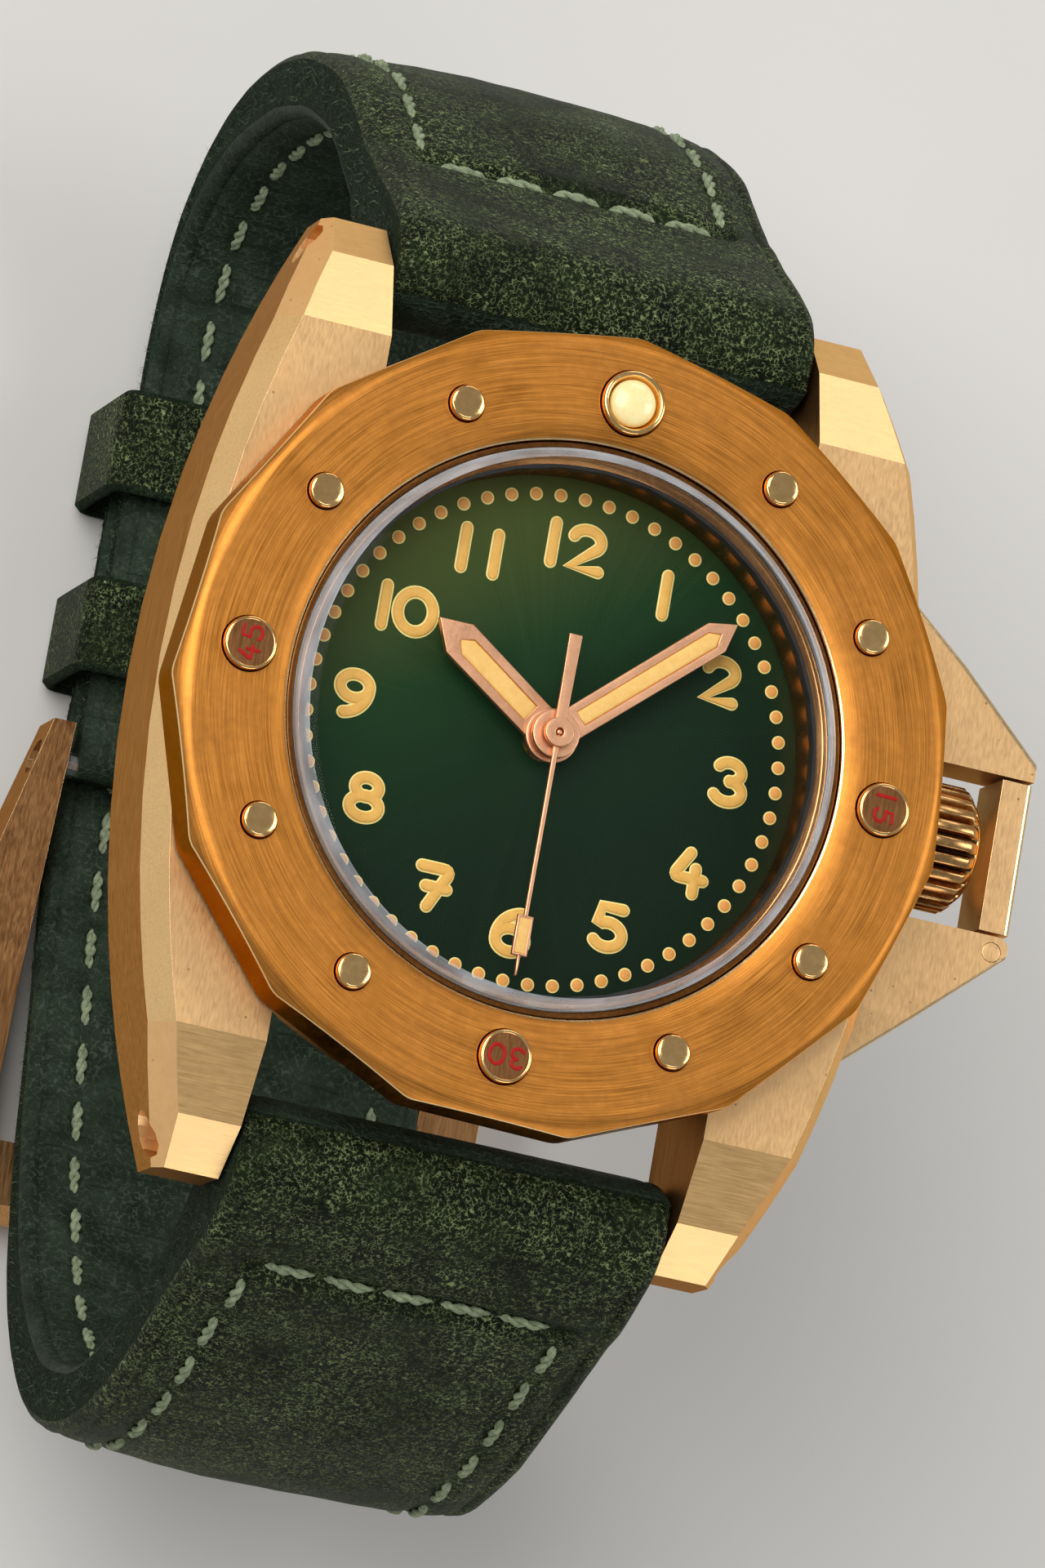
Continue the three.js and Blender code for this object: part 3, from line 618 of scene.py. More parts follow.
CRYSTAL_RIM = clear("crystal_rim", (0.92, 0.94, 0.96), 1.45, 0.4, (0.72, 0.76, 0.8))
HIDE = leather("leather_green", (0.0018, 0.0042, 0.0012), (0.0105, 0.019, 0.005), (0.27, 0.335, 0.15),
               rub=1, grain=4.2, depth=0.12, creases=0.6)
LINING = leather("leather_lining", (0.008, 0.015, 0.009), (0.022, 0.036, 0.022), (0.1, 0.13, 0.09),
                 rub=0.45, grain=2, depth=0.05, creases=1)
CUT_EDGE = cloth_edge()
FIBRE = plain("fibre_green", (0.14, 0.18, 0.11), (0.03, 0.05, 0.028), 0.9, 0.8, 0.01, specular=0.1)
THREAD = plain("thread_sage", (0.32, 0.37, 0.24), (0.1, 0.13, 0.075), 0.85, 2.2, 0.03, specular=0.15)


# ---------------------------------------------------------------- case
PIN_AT = (29.25, -5.6)                      # the gate's pin, which stands along Z
GUARD_BEVEL, PIN_SIDE_BEVEL, CASE_BEVEL = 0.32, 0.18, 0.09
NECK_X = 12.9                               # the case's edges nearer the middle stay sharp
GUARD_X, GUARD_Y, GUARD_LOW, GUARD_HIGH = 20.3, 15.2, 4.8, 8.8      # the guard's bounds
PIVOT_X, PIVOT_Y = 30, 4.3                # the gate's outer edges lie past the one and within the other


def on_guard(p):
    return p.x > GUARD_X and GUARD_LOW < p.z < GUARD_HIGH and abs(p.y) < GUARD_Y


def on_guard_rim(p):
    """The sloping outer edges of the guard, clear of the bore for the gate's pin."""
    return on_guard(p) and abs(p.y) > 6.6 and p.x > 21.5


CASE_FINISHES = [BLAST, GOLD, BRUSH_SHADED, SATIN_LIT, FACET]
BLASTED, BEVELLED, SHADED_WALL, HIGHLIT, FACETED = range(len(CASE_FINISHES))


def case_finish(n, c):
    """The finish of a face of the case, from its normal and its middle."""
    if on_guard(c) and n.z > 0.9:
        return BLASTED
    # Flanks: the chamfer takes the lighter satin (painted highlight) and the upright wall the dark brushed
    # bronze (painted shade).
    if abs(n.x) > 0.8 and abs(c.x) > 17 and not on_guard(c):
        return HIGHLIT if n.z > 0.3 else SHADED_WALL
    # Facets facing 6 o'clock and facing 12 o'clock take different copies: the lighter satin is a painted
    # highlight, and the stained facet bronze goes on the mirrored, less lit facet.
    if abs(n.y) > 0.6 and n.z > 0.4:
        return HIGHLIT if n.y < 0 else FACETED
    if 0.3 < abs(n.y) <= 0.6 and n.z > 0.6 and abs(c.y) > 19:
        return FACETED if n.y < 0 else HIGHLIT
    # Other upright faces take the dark brushed bronze: painted shade on the sides.
    return SHADED_WALL if abs(n.z) < 0.2 else BLASTED


def build_case():
    case = refine("case", "case_body", CASE_FINISHES, "case", [
        (GUARD_BEVEL, lambda p: on_guard_rim(p) and p.y > 0, "free"),
        (PIN_SIDE_BEVEL, lambda p: on_guard_rim(p) and p.y < 0, "free"),
        (CASE_BEVEL, lambda p: not on_guard_rim(p) and abs(p.x) > NECK_X)])
    for face in case.data.polygons:
        if face.material_index != BEVELLED:
            face.material_index = case_finish(face.normal, face.center / MM)


build_case()
refine("gate", "crown_gate", [BLAST, GOLD], "gate", [
    (0.38, lambda p: p.x > PIVOT_X and abs(p.y) < PIVOT_Y),
    (0.07, lambda p: p.x <= PIVOT_X or abs(p.y) >= PIVOT_Y)])
pin = Solid().lathe(rounded(box(0, 0.57, 4.92, 8.69), [0, 0.06, 0.06, 0], 3), 40, PIN_AT)
build("gate_hinge_pin", pin, BLAST, "case", ("gate_pin",))


def build_crown():
    x0, ribs = 23, 23
    inner, root, ridge = 2.95, 3.12, 3.72       # radii: under the grooves, at their foot, over the ribs
    rib = [1, 1, 0.99, 0.97, 0.93, 0.84, 0.1, 0, 0, 0.1, 0.84, 0.93, 0.97, 0.99]    # ridge to ridge
    steps = len(rib)
    ends = [(0, 0, 0), (0.1, 0.35, 0.3), (0.35, 0.75, 0.72), (0.7, 1, 1), (3.3, 1, 1),
            (3.65, 0.75, 0.72), (3.9, 0.35, 0.3), (4, 0, 0)]     # x, share of the rib, of the radius
    rings = []
    for along, share, fill in ends:
        ring = []
        for i in range(ribs * steps):
            top = root + (ridge - root) * rib[i % steps] * share
            radius = inner + (top - inner) * fill
            a = 2 * pi * i / (ribs * steps)
            ring.append((x0 + along, radius * cos(a), CROWN_Z + radius * sin(a)))
        rings.append(ring)
    # The floors of the grooves take the near-black bronze: painted shade in the grooves.
    solid = Solid().loft(rings, paint=lambda i, j: int(6 <= j % steps <= 8 and 0 < i < len(ends) - 2))
    build("crown_grip", solid, [CROWN_BRONZE, CROWN_GROOVE_SHADE], "winding_crown", ("crown",), sharp=50)
    cap = Solid().lathe([(0, 27.12), (2.2, 27.12), (2.35, 27.02), (2.5, 27.12), (2.85, 27.1), (3, 26.95),
                         (3, 26.5), (0, 26.5)], 72)
    lie = Matrix(((0, 0, 1, 0), (0, 1, 0, 0), (-1, 0, 0, 0), (0, 0, 0, 1)))       # turns Z into X
    cap.move(Matrix.Translation((0, 0, CROWN_Z)) @ lie)
    build("crown_face", cap, POLISH, "winding_crown")


build_crown()


# ---------------------------------------------------------------- bezel
CONE_SLOPE = 1.5
FLAT_EDGE = 22.05
TOP_Z = 15.55
BORE = 16.35
STUD_FOOT = 14.7
STUD_RADIUS, NUMBER_RADIUS, CUP_RADIUS = 1, 1.52, 1.85
STUD_CLEARANCE = 0.09
EDGE_REACH = 0.35       # how far the soft edge of the flat reaches on each side


def stud_radius(hour):
    return CUP_RADIUS if hour == 0 else NUMBER_RADIUS if hour % 3 == 0 else STUD_RADIUS


def bezel_corner(angle):
    """Radius of the fifteen-sided outline at an angle, its corners just broken."""
    step = 2 * pi / BEZEL_SIDES
    local = (angle - pi / 2 - BEZEL_REST) % step - step / 2
    return min(BEZEL_RADIUS * cos(step / 2) / cos(local), BEZEL_RADIUS - 0.045)


def build_bezel():
    count = BEZEL_SIDES * 32
    rows = []
    for i in range(count):
        angle = 2 * pi * i / count
        out = bezel_corner(angle)
        rim_z = TOP_Z - (out - FLAT_EDGE) / CONE_SLOPE
        section = [
            (BORE, 14.45), (17.95, 14.45), (17.95, 12.9), (20.2, 12.9), (20.2, 12.1), (out - 0.15, 12.1),
            (out, 12.25), (out, rim_z - 0.1), (out - 0.03, rim_z - 0.03)]
        cone = [(out - 0.06, rim_z + 0.04), (FLAT_EDGE, TOP_Z), (18.4, TOP_Z)]
        section += rounded(cone, EDGE_REACH, 6, closed=False)
        section += [(17.9, TOP_Z - 0.01), (17.4, TOP_Z - 0.05), (16.9, TOP_Z - 0.14), (16.48, 15.27),
                    (16.38, 15.2), (BORE, 15.08)]
        rows.append([(r * cos(angle), r * sin(angle), z) for r, z in section])
    # The first seven faces (the underside and the fifteen-sided side wall) and the last (the bore wall)
    # take the near-black bronze as painted shade.
    paints = [1] * 7 + [2] * 2 + [0] * (len(section) - 12) + [2, 2, 1]
    solid = Solid().loft(rows, wrap=True, paint=lambda i, j: paints[j])
    finishes = [PATINA, SHADE_BRONZE, GOLD]
    obj = build("bezel_ring", solid, finishes, "bezel_ring", ("bezel",), sharp=30)
    seats = Solid()
    for hour in range(12):
        seats.lathe(box(0, stud_radius(hour) + STUD_CLEARANCE, 14.55, 17), 40, on_bezel(hour))
    cut(obj, seats)


build_bezel()

STUD_GAPS = {3: 0.7, 6: 0.38, 9: 0.38}      # between the digits of 15, 30 and 45


def build_studs():
    for hour in range(1, 12):
        number = str(hour * 5) if hour % 3 == 0 else ""
        radius, top = stud_radius(hour), STUD_TOP
        face = radius - (0.17 if number else 0.13)      # radius inside the rim
        profile = [(0, STUD_FOOT), (radius, STUD_FOOT), (radius, top - 0.16), (radius - 0.03, top - 0.06),
                   (radius - 0.1, top), (face, top), (face - 0.03, top - 0.02)]
        if number:
            profile += [(face - 0.06, top - 0.07), (0, top - 0.07)]
        else:
            profile += [(face - 0.05, top - 0.03), (0.45, top - 0.012), (0, top - 0.005)]
        solid = Solid().lathe(profile, 56, on_bezel(hour), paint=lambda i, j: int(i >= 7))
        finishes = [POLISH, STUD_FACE if number else POLISH]
        stands = f"number_stud_{number}" if number else f"bezel_stud_{hour}"
        build(f"stud_{hour:02d}", solid, finishes, "bezel_ring", (stands,))
        if number:
            turn = -hour * 30 + degrees(BEZEL_REST)
            digits = write(Solid(), number, on_bezel(hour), 1.1, 0.11, 0.05, top - 0.075,
                           gap=STUD_GAPS[hour], wide=1.1, turn=turn)
            build(f"number_{number}", digits, RED, "bezel_ring")
    cup = [(0, STUD_FOOT), (CUP_RADIUS, STUD_FOOT), (CUP_RADIUS, 15.82), (1.82, 15.93), (1.74, 16),
           (1.62, 16), (1.55, 15.96), (1.47, 15.75), (1.4, 15.5), (1.35, 15.44), (0, 15.44)]
    seat = Solid().lathe(cup, 72, on_bezel(0))
    build("pearl_seat", seat, POLISH, "bezel_ring", ("pearl_cup",))
    steps = [pi / 2 * k / 10 for k in range(10)]
    dome = [(0, 15.46), (1.36, 15.47)]
    dome += [(1.36 * cos(a), 15.6 + 0.62 * sin(a)) for a in steps] + [(0, 16.22)]
    pearl = Solid().lathe(dome, 56, on_bezel(0))
    build("pearl", pearl, PEARL, "bezel_ring", ("lume_pearl",), sharp=80)


build_studs()


# ---------------------------------------------------------------- crystal, dial and hands
def build_crystal():
    edge, start, rise, steps = 15.3, 16.1, 1.3, 26
    dome = [(edge * (1 - i / steps), start + rise * (1 - (1 - i / steps) ** 2)) for i in range(1, steps)]
    profile = [(0, 14.6), (15.75, 14.6), (15.9, 14.7), (15.9, 15.42), (15.87, 15.53), (15.36, 16.05),
               (15.28, 16.11)]
    solid = Solid().lathe(profile + dome + [(0, start + rise)], 160, paint=lambda i, j: int(1 <= i <= 5))
    build("crystal_dome", solid, [CRYSTAL, CRYSTAL_RIM], "case", ("crystal",), sharp=30)


build_crystal()
# A near-black bronze ring in the gap between crystal and bezel: a painted shadow line.
seat = rounded(box(15.94, 16.31, 14.3, 15.05), 0.08, 3)
build("crystal_gap_shade_ring", Solid().lathe(seat, 160), SHADE_BRONZE, "case")
ring = rounded([(15.05, 11.25), (15.3, 11.25), (15.3, 14.2), (15.75, 14.56), (15.45, 14.56), (15.05, 14.2)],
               0.05, 3)
build("rehaut_ring", Solid().lathe(ring, 160), REHAUT_BRONZE, "case", ("rehaut",))

DOT_CIRCLE, NUMERAL_CIRCLE, NUMERAL_HEIGHT = 14, 11.2, 2.27
NUMERAL_WIDE = 1.27
NUMERAL_GAPS = {10: 0.36, 11: 0.84, 12: 0.5}
NUMERAL_SHIFTS = {7: (0.7, 0), 9: (-0.2, 0), 10: (0.6, -0.2)}     # off the circle, to clear the dots


def build_dial():
    disc = rounded(box(1.3, 15.2, 10.8, DIAL_TOP), 0.05, 2)
    build("dial_plate", Solid().lathe(disc, 160), DIAL, "case", ("dial",))
    dots = Solid()
    for minute in range(60):
        angle = pi / 2 - minute * pi / 30
        at = (DOT_CIRCLE * cos(angle), DOT_CIRCLE * sin(angle))
        low = [(0, DIAL_TOP - 0.02), (0.395, DIAL_TOP - 0.02), (0.39, DIAL_TOP + 0.03),
               (0.35, DIAL_TOP + 0.045), (0, DIAL_TOP + 0.045)]
        high = [(0, DIAL_TOP), (0.315, DIAL_TOP), (0.3, DIAL_TOP + 0.07), (0.22, DIAL_TOP + 0.105),
                (0, DIAL_TOP + 0.12)]
        dots.lathe(low, 20, at, paint=0).lathe(high, 20, at, paint=1)
    build("minute_dots", dots, [OUTLINE, DOT], "case")
    figures = Solid()
    for hour in range(1, 13):
        angle = pi / 2 - hour * pi / 6
        dx, dy = NUMERAL_SHIFTS.get(hour, (0, 0))
        at = (NUMERAL_CIRCLE * cos(angle) + dx, NUMERAL_CIRCLE * sin(angle) + dy)
        gap = NUMERAL_GAPS.get(hour, 0)
        for half, domed, z, paint in ((0.39, 0.05, DIAL_TOP - 0.01, 0), (0.29, 0.09, DIAL_TOP + 0.02, 1)):
            write(figures, str(hour), at, NUMERAL_HEIGHT, half, domed, z, gap, NUMERAL_WIDE, paint=paint)
    build("hour_numerals", figures, [OUTLINE, NUMERAL], "case")


build_dial()


def pencil(base, half, bottom, length, point):
    """Outline of a hand's blade that points up: narrow at the hub, widest at the shoulders."""
    shoulder = length - point
    return [(-base, bottom), (base, bottom), (half, shoulder), (0, length), (-half, shoulder)]


def build_hand(name, node, body, outer, inner, hub, z0, z1, turn):
    """hub is (radius, radius of the hole, top)."""
    metalwork = Solid().frame(outer, inner, z0, z1)
    radius, hole, top = hub
    metalwork.lathe(rounded(box(hole, radius, z0, top), 0.07, 3), 56)
    metalwork.move(spin_z(-turn))
    build(name, metalwork, COPPER, body, (node,))
    fill = Solid().loft([
        lift(inner, z0 + 0.03), lift(inner, z1 - 0.1), lift(inset(inner, 0.1), z1 - 0.03),
        lift(inset(inner, 0.25), z1 - 0.01)])
    build(name + "_lume", fill.move(spin_z(-turn)), LUME, body, sharp=75)


build_hand("hour_blade", "hour_hand", "hours", pencil(1.12, 1.15, 0.9, 9.2, 1.65),
           pencil(0.56, 0.58, 1.75, 7.45, 0.6), (1.55, 1.1, 12.64), 12.2, 12.6, HOUR_ANGLE)
build_hand("minute_blade", "minute_hand", "minutes", pencil(0.92, 0.95, 0.9, 12.8, 1.5),
           pencil(0.44, 0.47, 1.75, 11.6, 0.6), (1.38, 0.65, 13.39), 12.95, 13.35, MINUTE_ANGLE)


def build_seconds():
    z0, z1 = 13.62, 13.84
    solid = Solid()
    bars = ((0.39, -5.7, 0.3, -0.5, 0.04), (0.15, 0.5, 0.115, 10.7, 0.04), (0.1, 12.8, 0.055, 14.05, 0.03))
    for half0, y0, half1, y1, edge in bars:
        solid.prism([(-half0, y0), (half0, y0), (half1, y1), (-half1, y1)], z0, z1, edge)
    window = box(-0.46, 0.46, 10.6, 12.9)
    opening = inset(window, 0.15)
    solid.frame(window, opening, z0, z1, 0.03)
    solid.lathe(rounded(box(0.24, 0.84, z0, 14.02), 0.05, 3), 56)
    solid.lathe([(0, z0), (0.15, z0), (0.15, 13.93), (0.1, 13.98), (0, 13.99)], 24)
    turn = spin_z(-SECOND_ANGLE)
    build("seconds_needle", solid.move(turn), COPPER, "seconds", ("seconds_hand",))
    fill = Solid().prism(opening, z0 + 0.02, z1 - 0.02, 0.03)
    build("seconds_lume", fill.move(turn), LUME, "seconds")


build_seconds()


# ---------------------------------------------------------------- strap
def smoothstep(value, low, high):
    t = min(max((value - low) / (high - low), 0), 1)
    return t * t * (3 - 2 * t)


def rough(*place_at):
    return noise.noise(Vector(place_at))


SAMPLES = 900


def spline(points):
    """The smooth path through the points, as the CAD draws it: (distance, y, z) for each sample."""
    result, last, total = [], None, 0
    spans = len(points) - 1
    for i in range(SAMPLES + 1):
        k = min(int(spans * i / SAMPLES), spans - 1)
        t = spans * i / SAMPLES - k
        a, b, c, d = (Vector(points[min(max(k + n, 0), spans)]) for n in (-1, 0, 1, 2))
        v0, v1 = (c - a) / 2, (d - b) / 2
        p = (2 * b - 2 * c + v0 + v1) * t ** 3 + (3 * c - 3 * b - 2 * v0 - v1) * t ** 2 + v0 * t + b
        total += (p - last).length if last is not None else 0
        result.append((total, p.x, p.y))
        last = p
    return result


class Strap:
    """One half of the strap: a band of changing thickness along a path, padded between its seams."""

    def __init__(self, path, thickness, row, tail):
        self.samples = spline(path)
        self.length = self.samples[-1][0]
        self.thickness, self.row, self.tail = thickness, row, tail
        middle, y, z = self.samples[SAMPLES // 2]
        normal = self.frame_at(middle)[1]
        self.outward = 1 if normal.dot(Vector((0, y, z + 20))) > 0 else -1

    def frame_at(self, s):
        """Middle of the band at a distance along it, the normal and the tangent there."""
        s_in = min(max(s, 0), self.length)
        low, high = 0, len(self.samples) - 1
        while high - low > 1:
            mid = (low + high) // 2
            low, high = (mid, high) if self.samples[mid][0] <= s_in else (low, mid)
        (s0, y0, z0), (s1, y1, z1) = self.samples[low], self.samples[high]
        t = (s_in - s0) / max(s1 - s0, 1e-9)
        wide = self.samples[max(low - 4, 0)], self.samples[min(high + 4, len(self.samples) - 1)]
        tangent = Vector((0, wide[1][1] - wide[0][1], wide[1][2] - wide[0][2])).normalized()
        middle = Vector((0, y0 + (y1 - y0) * t, z0 + (z1 - z0) * t)) + tangent * (s - s_in)
        return middle, Vector((0, -tangent.z, tangent.y)), tangent

    def half(self, s):
        """Half the thickness: round at the lug bar and at the tail."""
        if s < 0:
            return sqrt(max(HEAD_RADIUS ** 2 - s * s, 0))
        half = self.thickness(s / self.length) / 2
        reach = half if self.tail == "bar" else half * 0.6
        over = s - (self.length if self.tail == "bar" else self.length - reach)
        return half * sqrt(max(1 - (over / reach) ** 2, 0)) if over > 0 else half

    def width(self, s):
        """Share of the full width, which the pointed tail gives up."""
        if self.tail == "bar":
            return 1
        nose = s - (self.length - TAIL_LENGTH)
        return sqrt(max(1 - (nose / (TAIL_LENGTH * 1.03)) ** 2, 0)) ** 0.8 if nose > 0 else 1

    def relief(self, s, x, side):
        """How far the face stands off the plain band: padding, seam channels, wear and creases."""
        edge = abs(x) - SEAM_X
        sewn = smoothstep(s, self.row - 1, self.row + 1.5)
        fade = 1 - smoothstep(s, self.length - 3, self.length)
        pad = 0.3 * cos(min(abs(x) / SEAM_X, 1) * pi / 2) if side > 0 else 0
        border = -0.32 * smoothstep(edge, 0.2, 2.6) * sewn
        channel = -0.26 * exp(-(edge / 0.55) ** 2) * sewn
        line = -0.14 * exp(-((abs(x) - LINE_X) / 0.16) ** 2)
        across = -0.55 * exp(-((s - self.row) / 0.65) ** 2)
        across *= 1 - smoothstep(abs(x), SEAM_X, SEAM_X + 1.2)
        uneven = rough(x * 0.16, s * 0.16, side * 9) * 0.16 + rough(x * 0.6, s * 0.6, side * 5 + 3) * 0.05
        uneven *= 1 - smoothstep(-s, 0.5, 3)
        return (pad * sewn + border + channel + across + line) * fade + uneven

    def point(self, s, x, side, lift_by=0):
        """A point of the outer (side 1) or inner (side -1) face."""
        middle, normal, _ = self.frame_at(s)
        half = self.half(s)
        near = STRAP_HALF - abs(x)
        soft = min(EDGE_RADIUS, half * 0.8)
        drop = soft - sqrt(max(soft ** 2 - (soft - near) ** 2, 0)) if near < soft else 0
        relief = self.relief(s, x, side) * min(1, half / 1.2)
        height = max(half - drop + relief, half * 0.15 if half > 0.4 else 0) + lift_by
        return middle + normal * (self.outward * side * height) + Vector((x * self.width(s), 0, 0))


HEAD_RADIUS = 3.5      # of the end that is wrapped round the lug bar
EDGE_RADIUS = 0.9
TAIL_LENGTH = 8
SEAM_X = 9.4
LINE_X = 11.6          # the line pressed along each edge
PITCH_ACROSS, PITCH_ALONG = 3.7, 4.1
EDGE_ROWS = 5          # rows of points down a cut edge
STATION = 0.45         # between sections of the strap
STITCH_STEPS = 12
FIBRES_A_SIDE = 520
THREAD_RADIUS, THREAD_TWIST = 0.2, 0.17


def section_places():
    """Where the points of a strap's section lie across its width, closest at the edges and seams."""
    half = [0, 1.5, 3, 4.5, 6, 7.2, 8, 8.5, 8.85, 9.15, SEAM_X, 9.65, 9.95, 10.3, 10.8, 11.2, 11.42,
            11.52, LINE_X, 11.68, 11.78, 12, 12.2, 12.4, 12.55, 12.66, STRAP_HALF]
    return [-x for x in reversed(half[1:])] + half


def build_strap(name, strap, body, node):
    across = section_places()
    stations = [-HEAD_RADIUS * sin(radians(a)) for a in (88, 78, 66, 54, 42, 30, 20, 10)]
    stations += [STATION * i for i in range(int(strap.length / STATION))]
    stations += [strap.length - 0.25, strap.length - 0.1, strap.length - 0.01]
    if strap.tail == "bar":
        end = strap.length + strap.half(strap.length) * 0.97
        stations += [strap.length + (end - strap.length) * k for k in (0.3, 0.6, 0.8, 0.92, 1)]
    rings = []
    for s in stations:
        outer = [strap.point(s, x, 1) for x in across]
        inner = [strap.point(s, x, -1) for x in reversed(across)]
        right = ragged(strap, s, outer[-1], inner[0], 1)
        left = ragged(strap, s, inner[-1], outer[0], -1)
        rings.append([tuple(p) for p in outer + right + inner + left])
    n = len(across)

    def paint(i, j):
        if n - 2 <= j < n + EDGE_ROWS + 1 or j >= 2 * n + EDGE_ROWS - 2 or j < 1:
            return 1
        return 2 if j > n else 0

    solid = Solid().loft(rings, paint=paint)
    return build(name, solid, [HIDE, CUT_EDGE, LINING], body, (node,), sharp=75)


def ragged(strap, s, top, bottom, side):
    """The points down the cut edge of a section: rough, with a groove where two layers meet."""
    result = []
    for k in range(EDGE_ROWS):
        wear = rough(s * 1.7, k * 2.3, side * 11) * 0.1 + rough(s * 0.45, k * 0.8, side * 7) * 0.12
        groove = -0.1 if k == EDGE_ROWS // 2 else 0
        out = Vector((side * (wear + groove) * min(1, strap.half(s)), 0, 0))
        result.append(top.lerp(bottom, (k + 1) / (EDGE_ROWS + 1)) + out)
    return result


def thread(solid, path, up, side_vector):
    """One stitch of two twisted strands along a short path of points."""
    sides = 7
    for phase in (0, pi):
        rings = []
        for i, p in enumerate(path):
            t = i / (len(path) - 1)
            angle = phase + t * pi * 3.4
            thin = 0.55 + 0.45 * sin(pi * min(max(t, 0.06), 0.94))
            centre = p + (up * cos(angle) * 0.7 + side_vector * sin(angle)) * THREAD_TWIST * thin
            along = (path[min(i + 1, len(path) - 1)] - path[max(i - 1, 0)]).normalized()
            u = (up - along * up.dot(along)).normalized()
            v = along.cross(u)
            radius = THREAD_RADIUS * thin
            angles = [2 * pi * k / sides for k in range(sides)]
            rings.append([tuple(centre + (u * cos(a) + v * sin(a)) * radius) for a in angles])
        solid.loft(rings)


def sew(solid, strap, start, end, side, rng):
    """A line of stitches on a face of the strap, from (s, x) to (s, x), evenly spaced."""
    across = start[0] == end[0]
    pitch = PITCH_ACROSS if across else PITCH_ALONG
    margin = 0.03 if across else 0.13
    count = max(1, round(dist(start, end) / pitch))
    for i in range(count):
        t0, t1 = (i + margin) / count, (i + 1 - margin) / count
        wander = rng.uniform(-0.09, 0.09)
        path = []
        for k in range(STITCH_STEPS + 1):
            t = t0 + (t1 - t0) * k / STITCH_STEPS
            s = start[0] + (end[0] - start[0]) * t + wander * across
            x = start[1] + (end[1] - start[1]) * t + wander * (not across)
            bow = sin(pi * k / STITCH_STEPS)
            path.append(strap.point(s, x, side, -0.28 + 0.48 * min(1, bow * 1.7)))
            if k == STITCH_STEPS // 2:
                up = strap.frame_at(s)[1] * strap.outward * side
        along = (path[-1] - path[0]).normalized()
        thread(solid, path, up, along.cross(up))


def stitch_strap(name, strap, body, seed):
    rng = random.Random(seed)
    solid = Solid()
    last = strap.length - (9 if strap.tail == "bar" else 10)
    sew(solid, strap, (strap.row, -SEAM_X + 0.6), (strap.row, SEAM_X - 0.6), 1, rng)
    for x in (-SEAM_X, SEAM_X):
        sew(solid, strap, (strap.row + 0.8, x), (last, x), 1, rng)
        sew(solid, strap, (strap.row + 0.8, x), (last, x), -1, rng)
    build(name, solid, THREAD, body, sharp=80)


def fuzz(name, strap, body, seed):
    """Loose fibres standing out of the cut edges."""
    rng = random.Random(seed)
    solid = Solid()
    for side in (-1, 1):
        for _ in range(FIBRES_A_SIDE):
            s = rng.uniform(-2, strap.length - (2 if strap.tail == "bar" else TAIL_LENGTH))
            across = rng.uniform(0.08, 0.92)
            _, normal, tangent = strap.frame_at(s)
            edge = side * (STRAP_HALF - 0.02)
            base = strap.point(s, edge, 1).lerp(strap.point(s, edge, -1), across)
            base -= Vector((side * 0.15, 0, 0))
            lean = normal * rng.uniform(-1, 1) + tangent * rng.uniform(-1, 1)
            curl = normal * rng.uniform(-1, 1) + tangent * rng.uniform(-1, 1)
            length, radius = rng.uniform(0.15, 0.5), rng.uniform(0.018, 0.034)
            rings = []
            for k in range(4):
                t = k / 3
                p = base + Vector((side, 0, 0)) * (0.15 + length * 0.75 * t)
                p += lean * length * t
                p += curl * 0.3 * t * t
                rings.append([tuple(p + (normal * cos(a) + tangent * sin(a)) * radius * (1.1 - t))
                              for a in (0, 2.1, 4.2)])
            solid.loft(rings)
    build(name, solid, FIBRE, body, sharp=80)


# Each half: the path of its middle in y and z, its thickness along it (t from 0 to 1), how far along the
# cross seam lies, and the kind of tail.
UPPER = Strap(
    [(26, 6), (30.2, 0.6), (34.6, -4.6), (39.4, -11.2), (42.6, -19.5), (43.8, -28.5), (42.7, -36.8),
     (38.9, -43), (33, -45.5), (26, -45.6), (16, -45.6), (4.6, -45.6)],
    lambda t: 7 - 2.2 * smoothstep(t, 0, 0.14) - 1.8 * smoothstep(t, 0.45, 0.72), 10.8, "bar")
LOWER = Strap(
    [(-26, 6), (-29.8, 0.8), (-33.3, -5), (-36.4, -12), (-37.9, -20), (-35.8, -29.3), (-29.6, -37),
     (-21, -42), (-12.5, -44.9), (-4.5, -47.8), (2, -49), (9, -48.95), (16, -48.95), (24, -48.95),
     (33, -48.95)],
    lambda t: 7 - 2.2 * smoothstep(t, 0, 0.12) - 2.2 * smoothstep(t, 0.35, 0.62), 5.2, "point")

upper = build_strap("strap_upper", UPPER, "upper_strap", "strap_top")
lower = build_strap("strap_lower", LOWER, "lower_strap", "strap_bottom")
stitch_strap("stitches_upper", UPPER, "upper_strap", 3)
stitch_strap("stitches_lower", LOWER, "lower_strap", 5)
fuzz("fibres_upper", UPPER, "upper_strap", 7)
fuzz("fibres_lower", LOWER, "lower_strap", 11)

# the tongue's slots, and the holes in the tail
cut(upper, Solid().prism(box(-1.6, 1.6, 1, 6.8), -49.6, -41.6, 0.2))
punched = Solid().prism(box(-1.7, 1.7, -1.8, 5.6), -54, -44, 0.2)
for hole_y in (-9, -16, 13):
    punched.lathe(box(0, 1.2, -54, -38), 32, (0, hole_y))
cut(lower, punched)


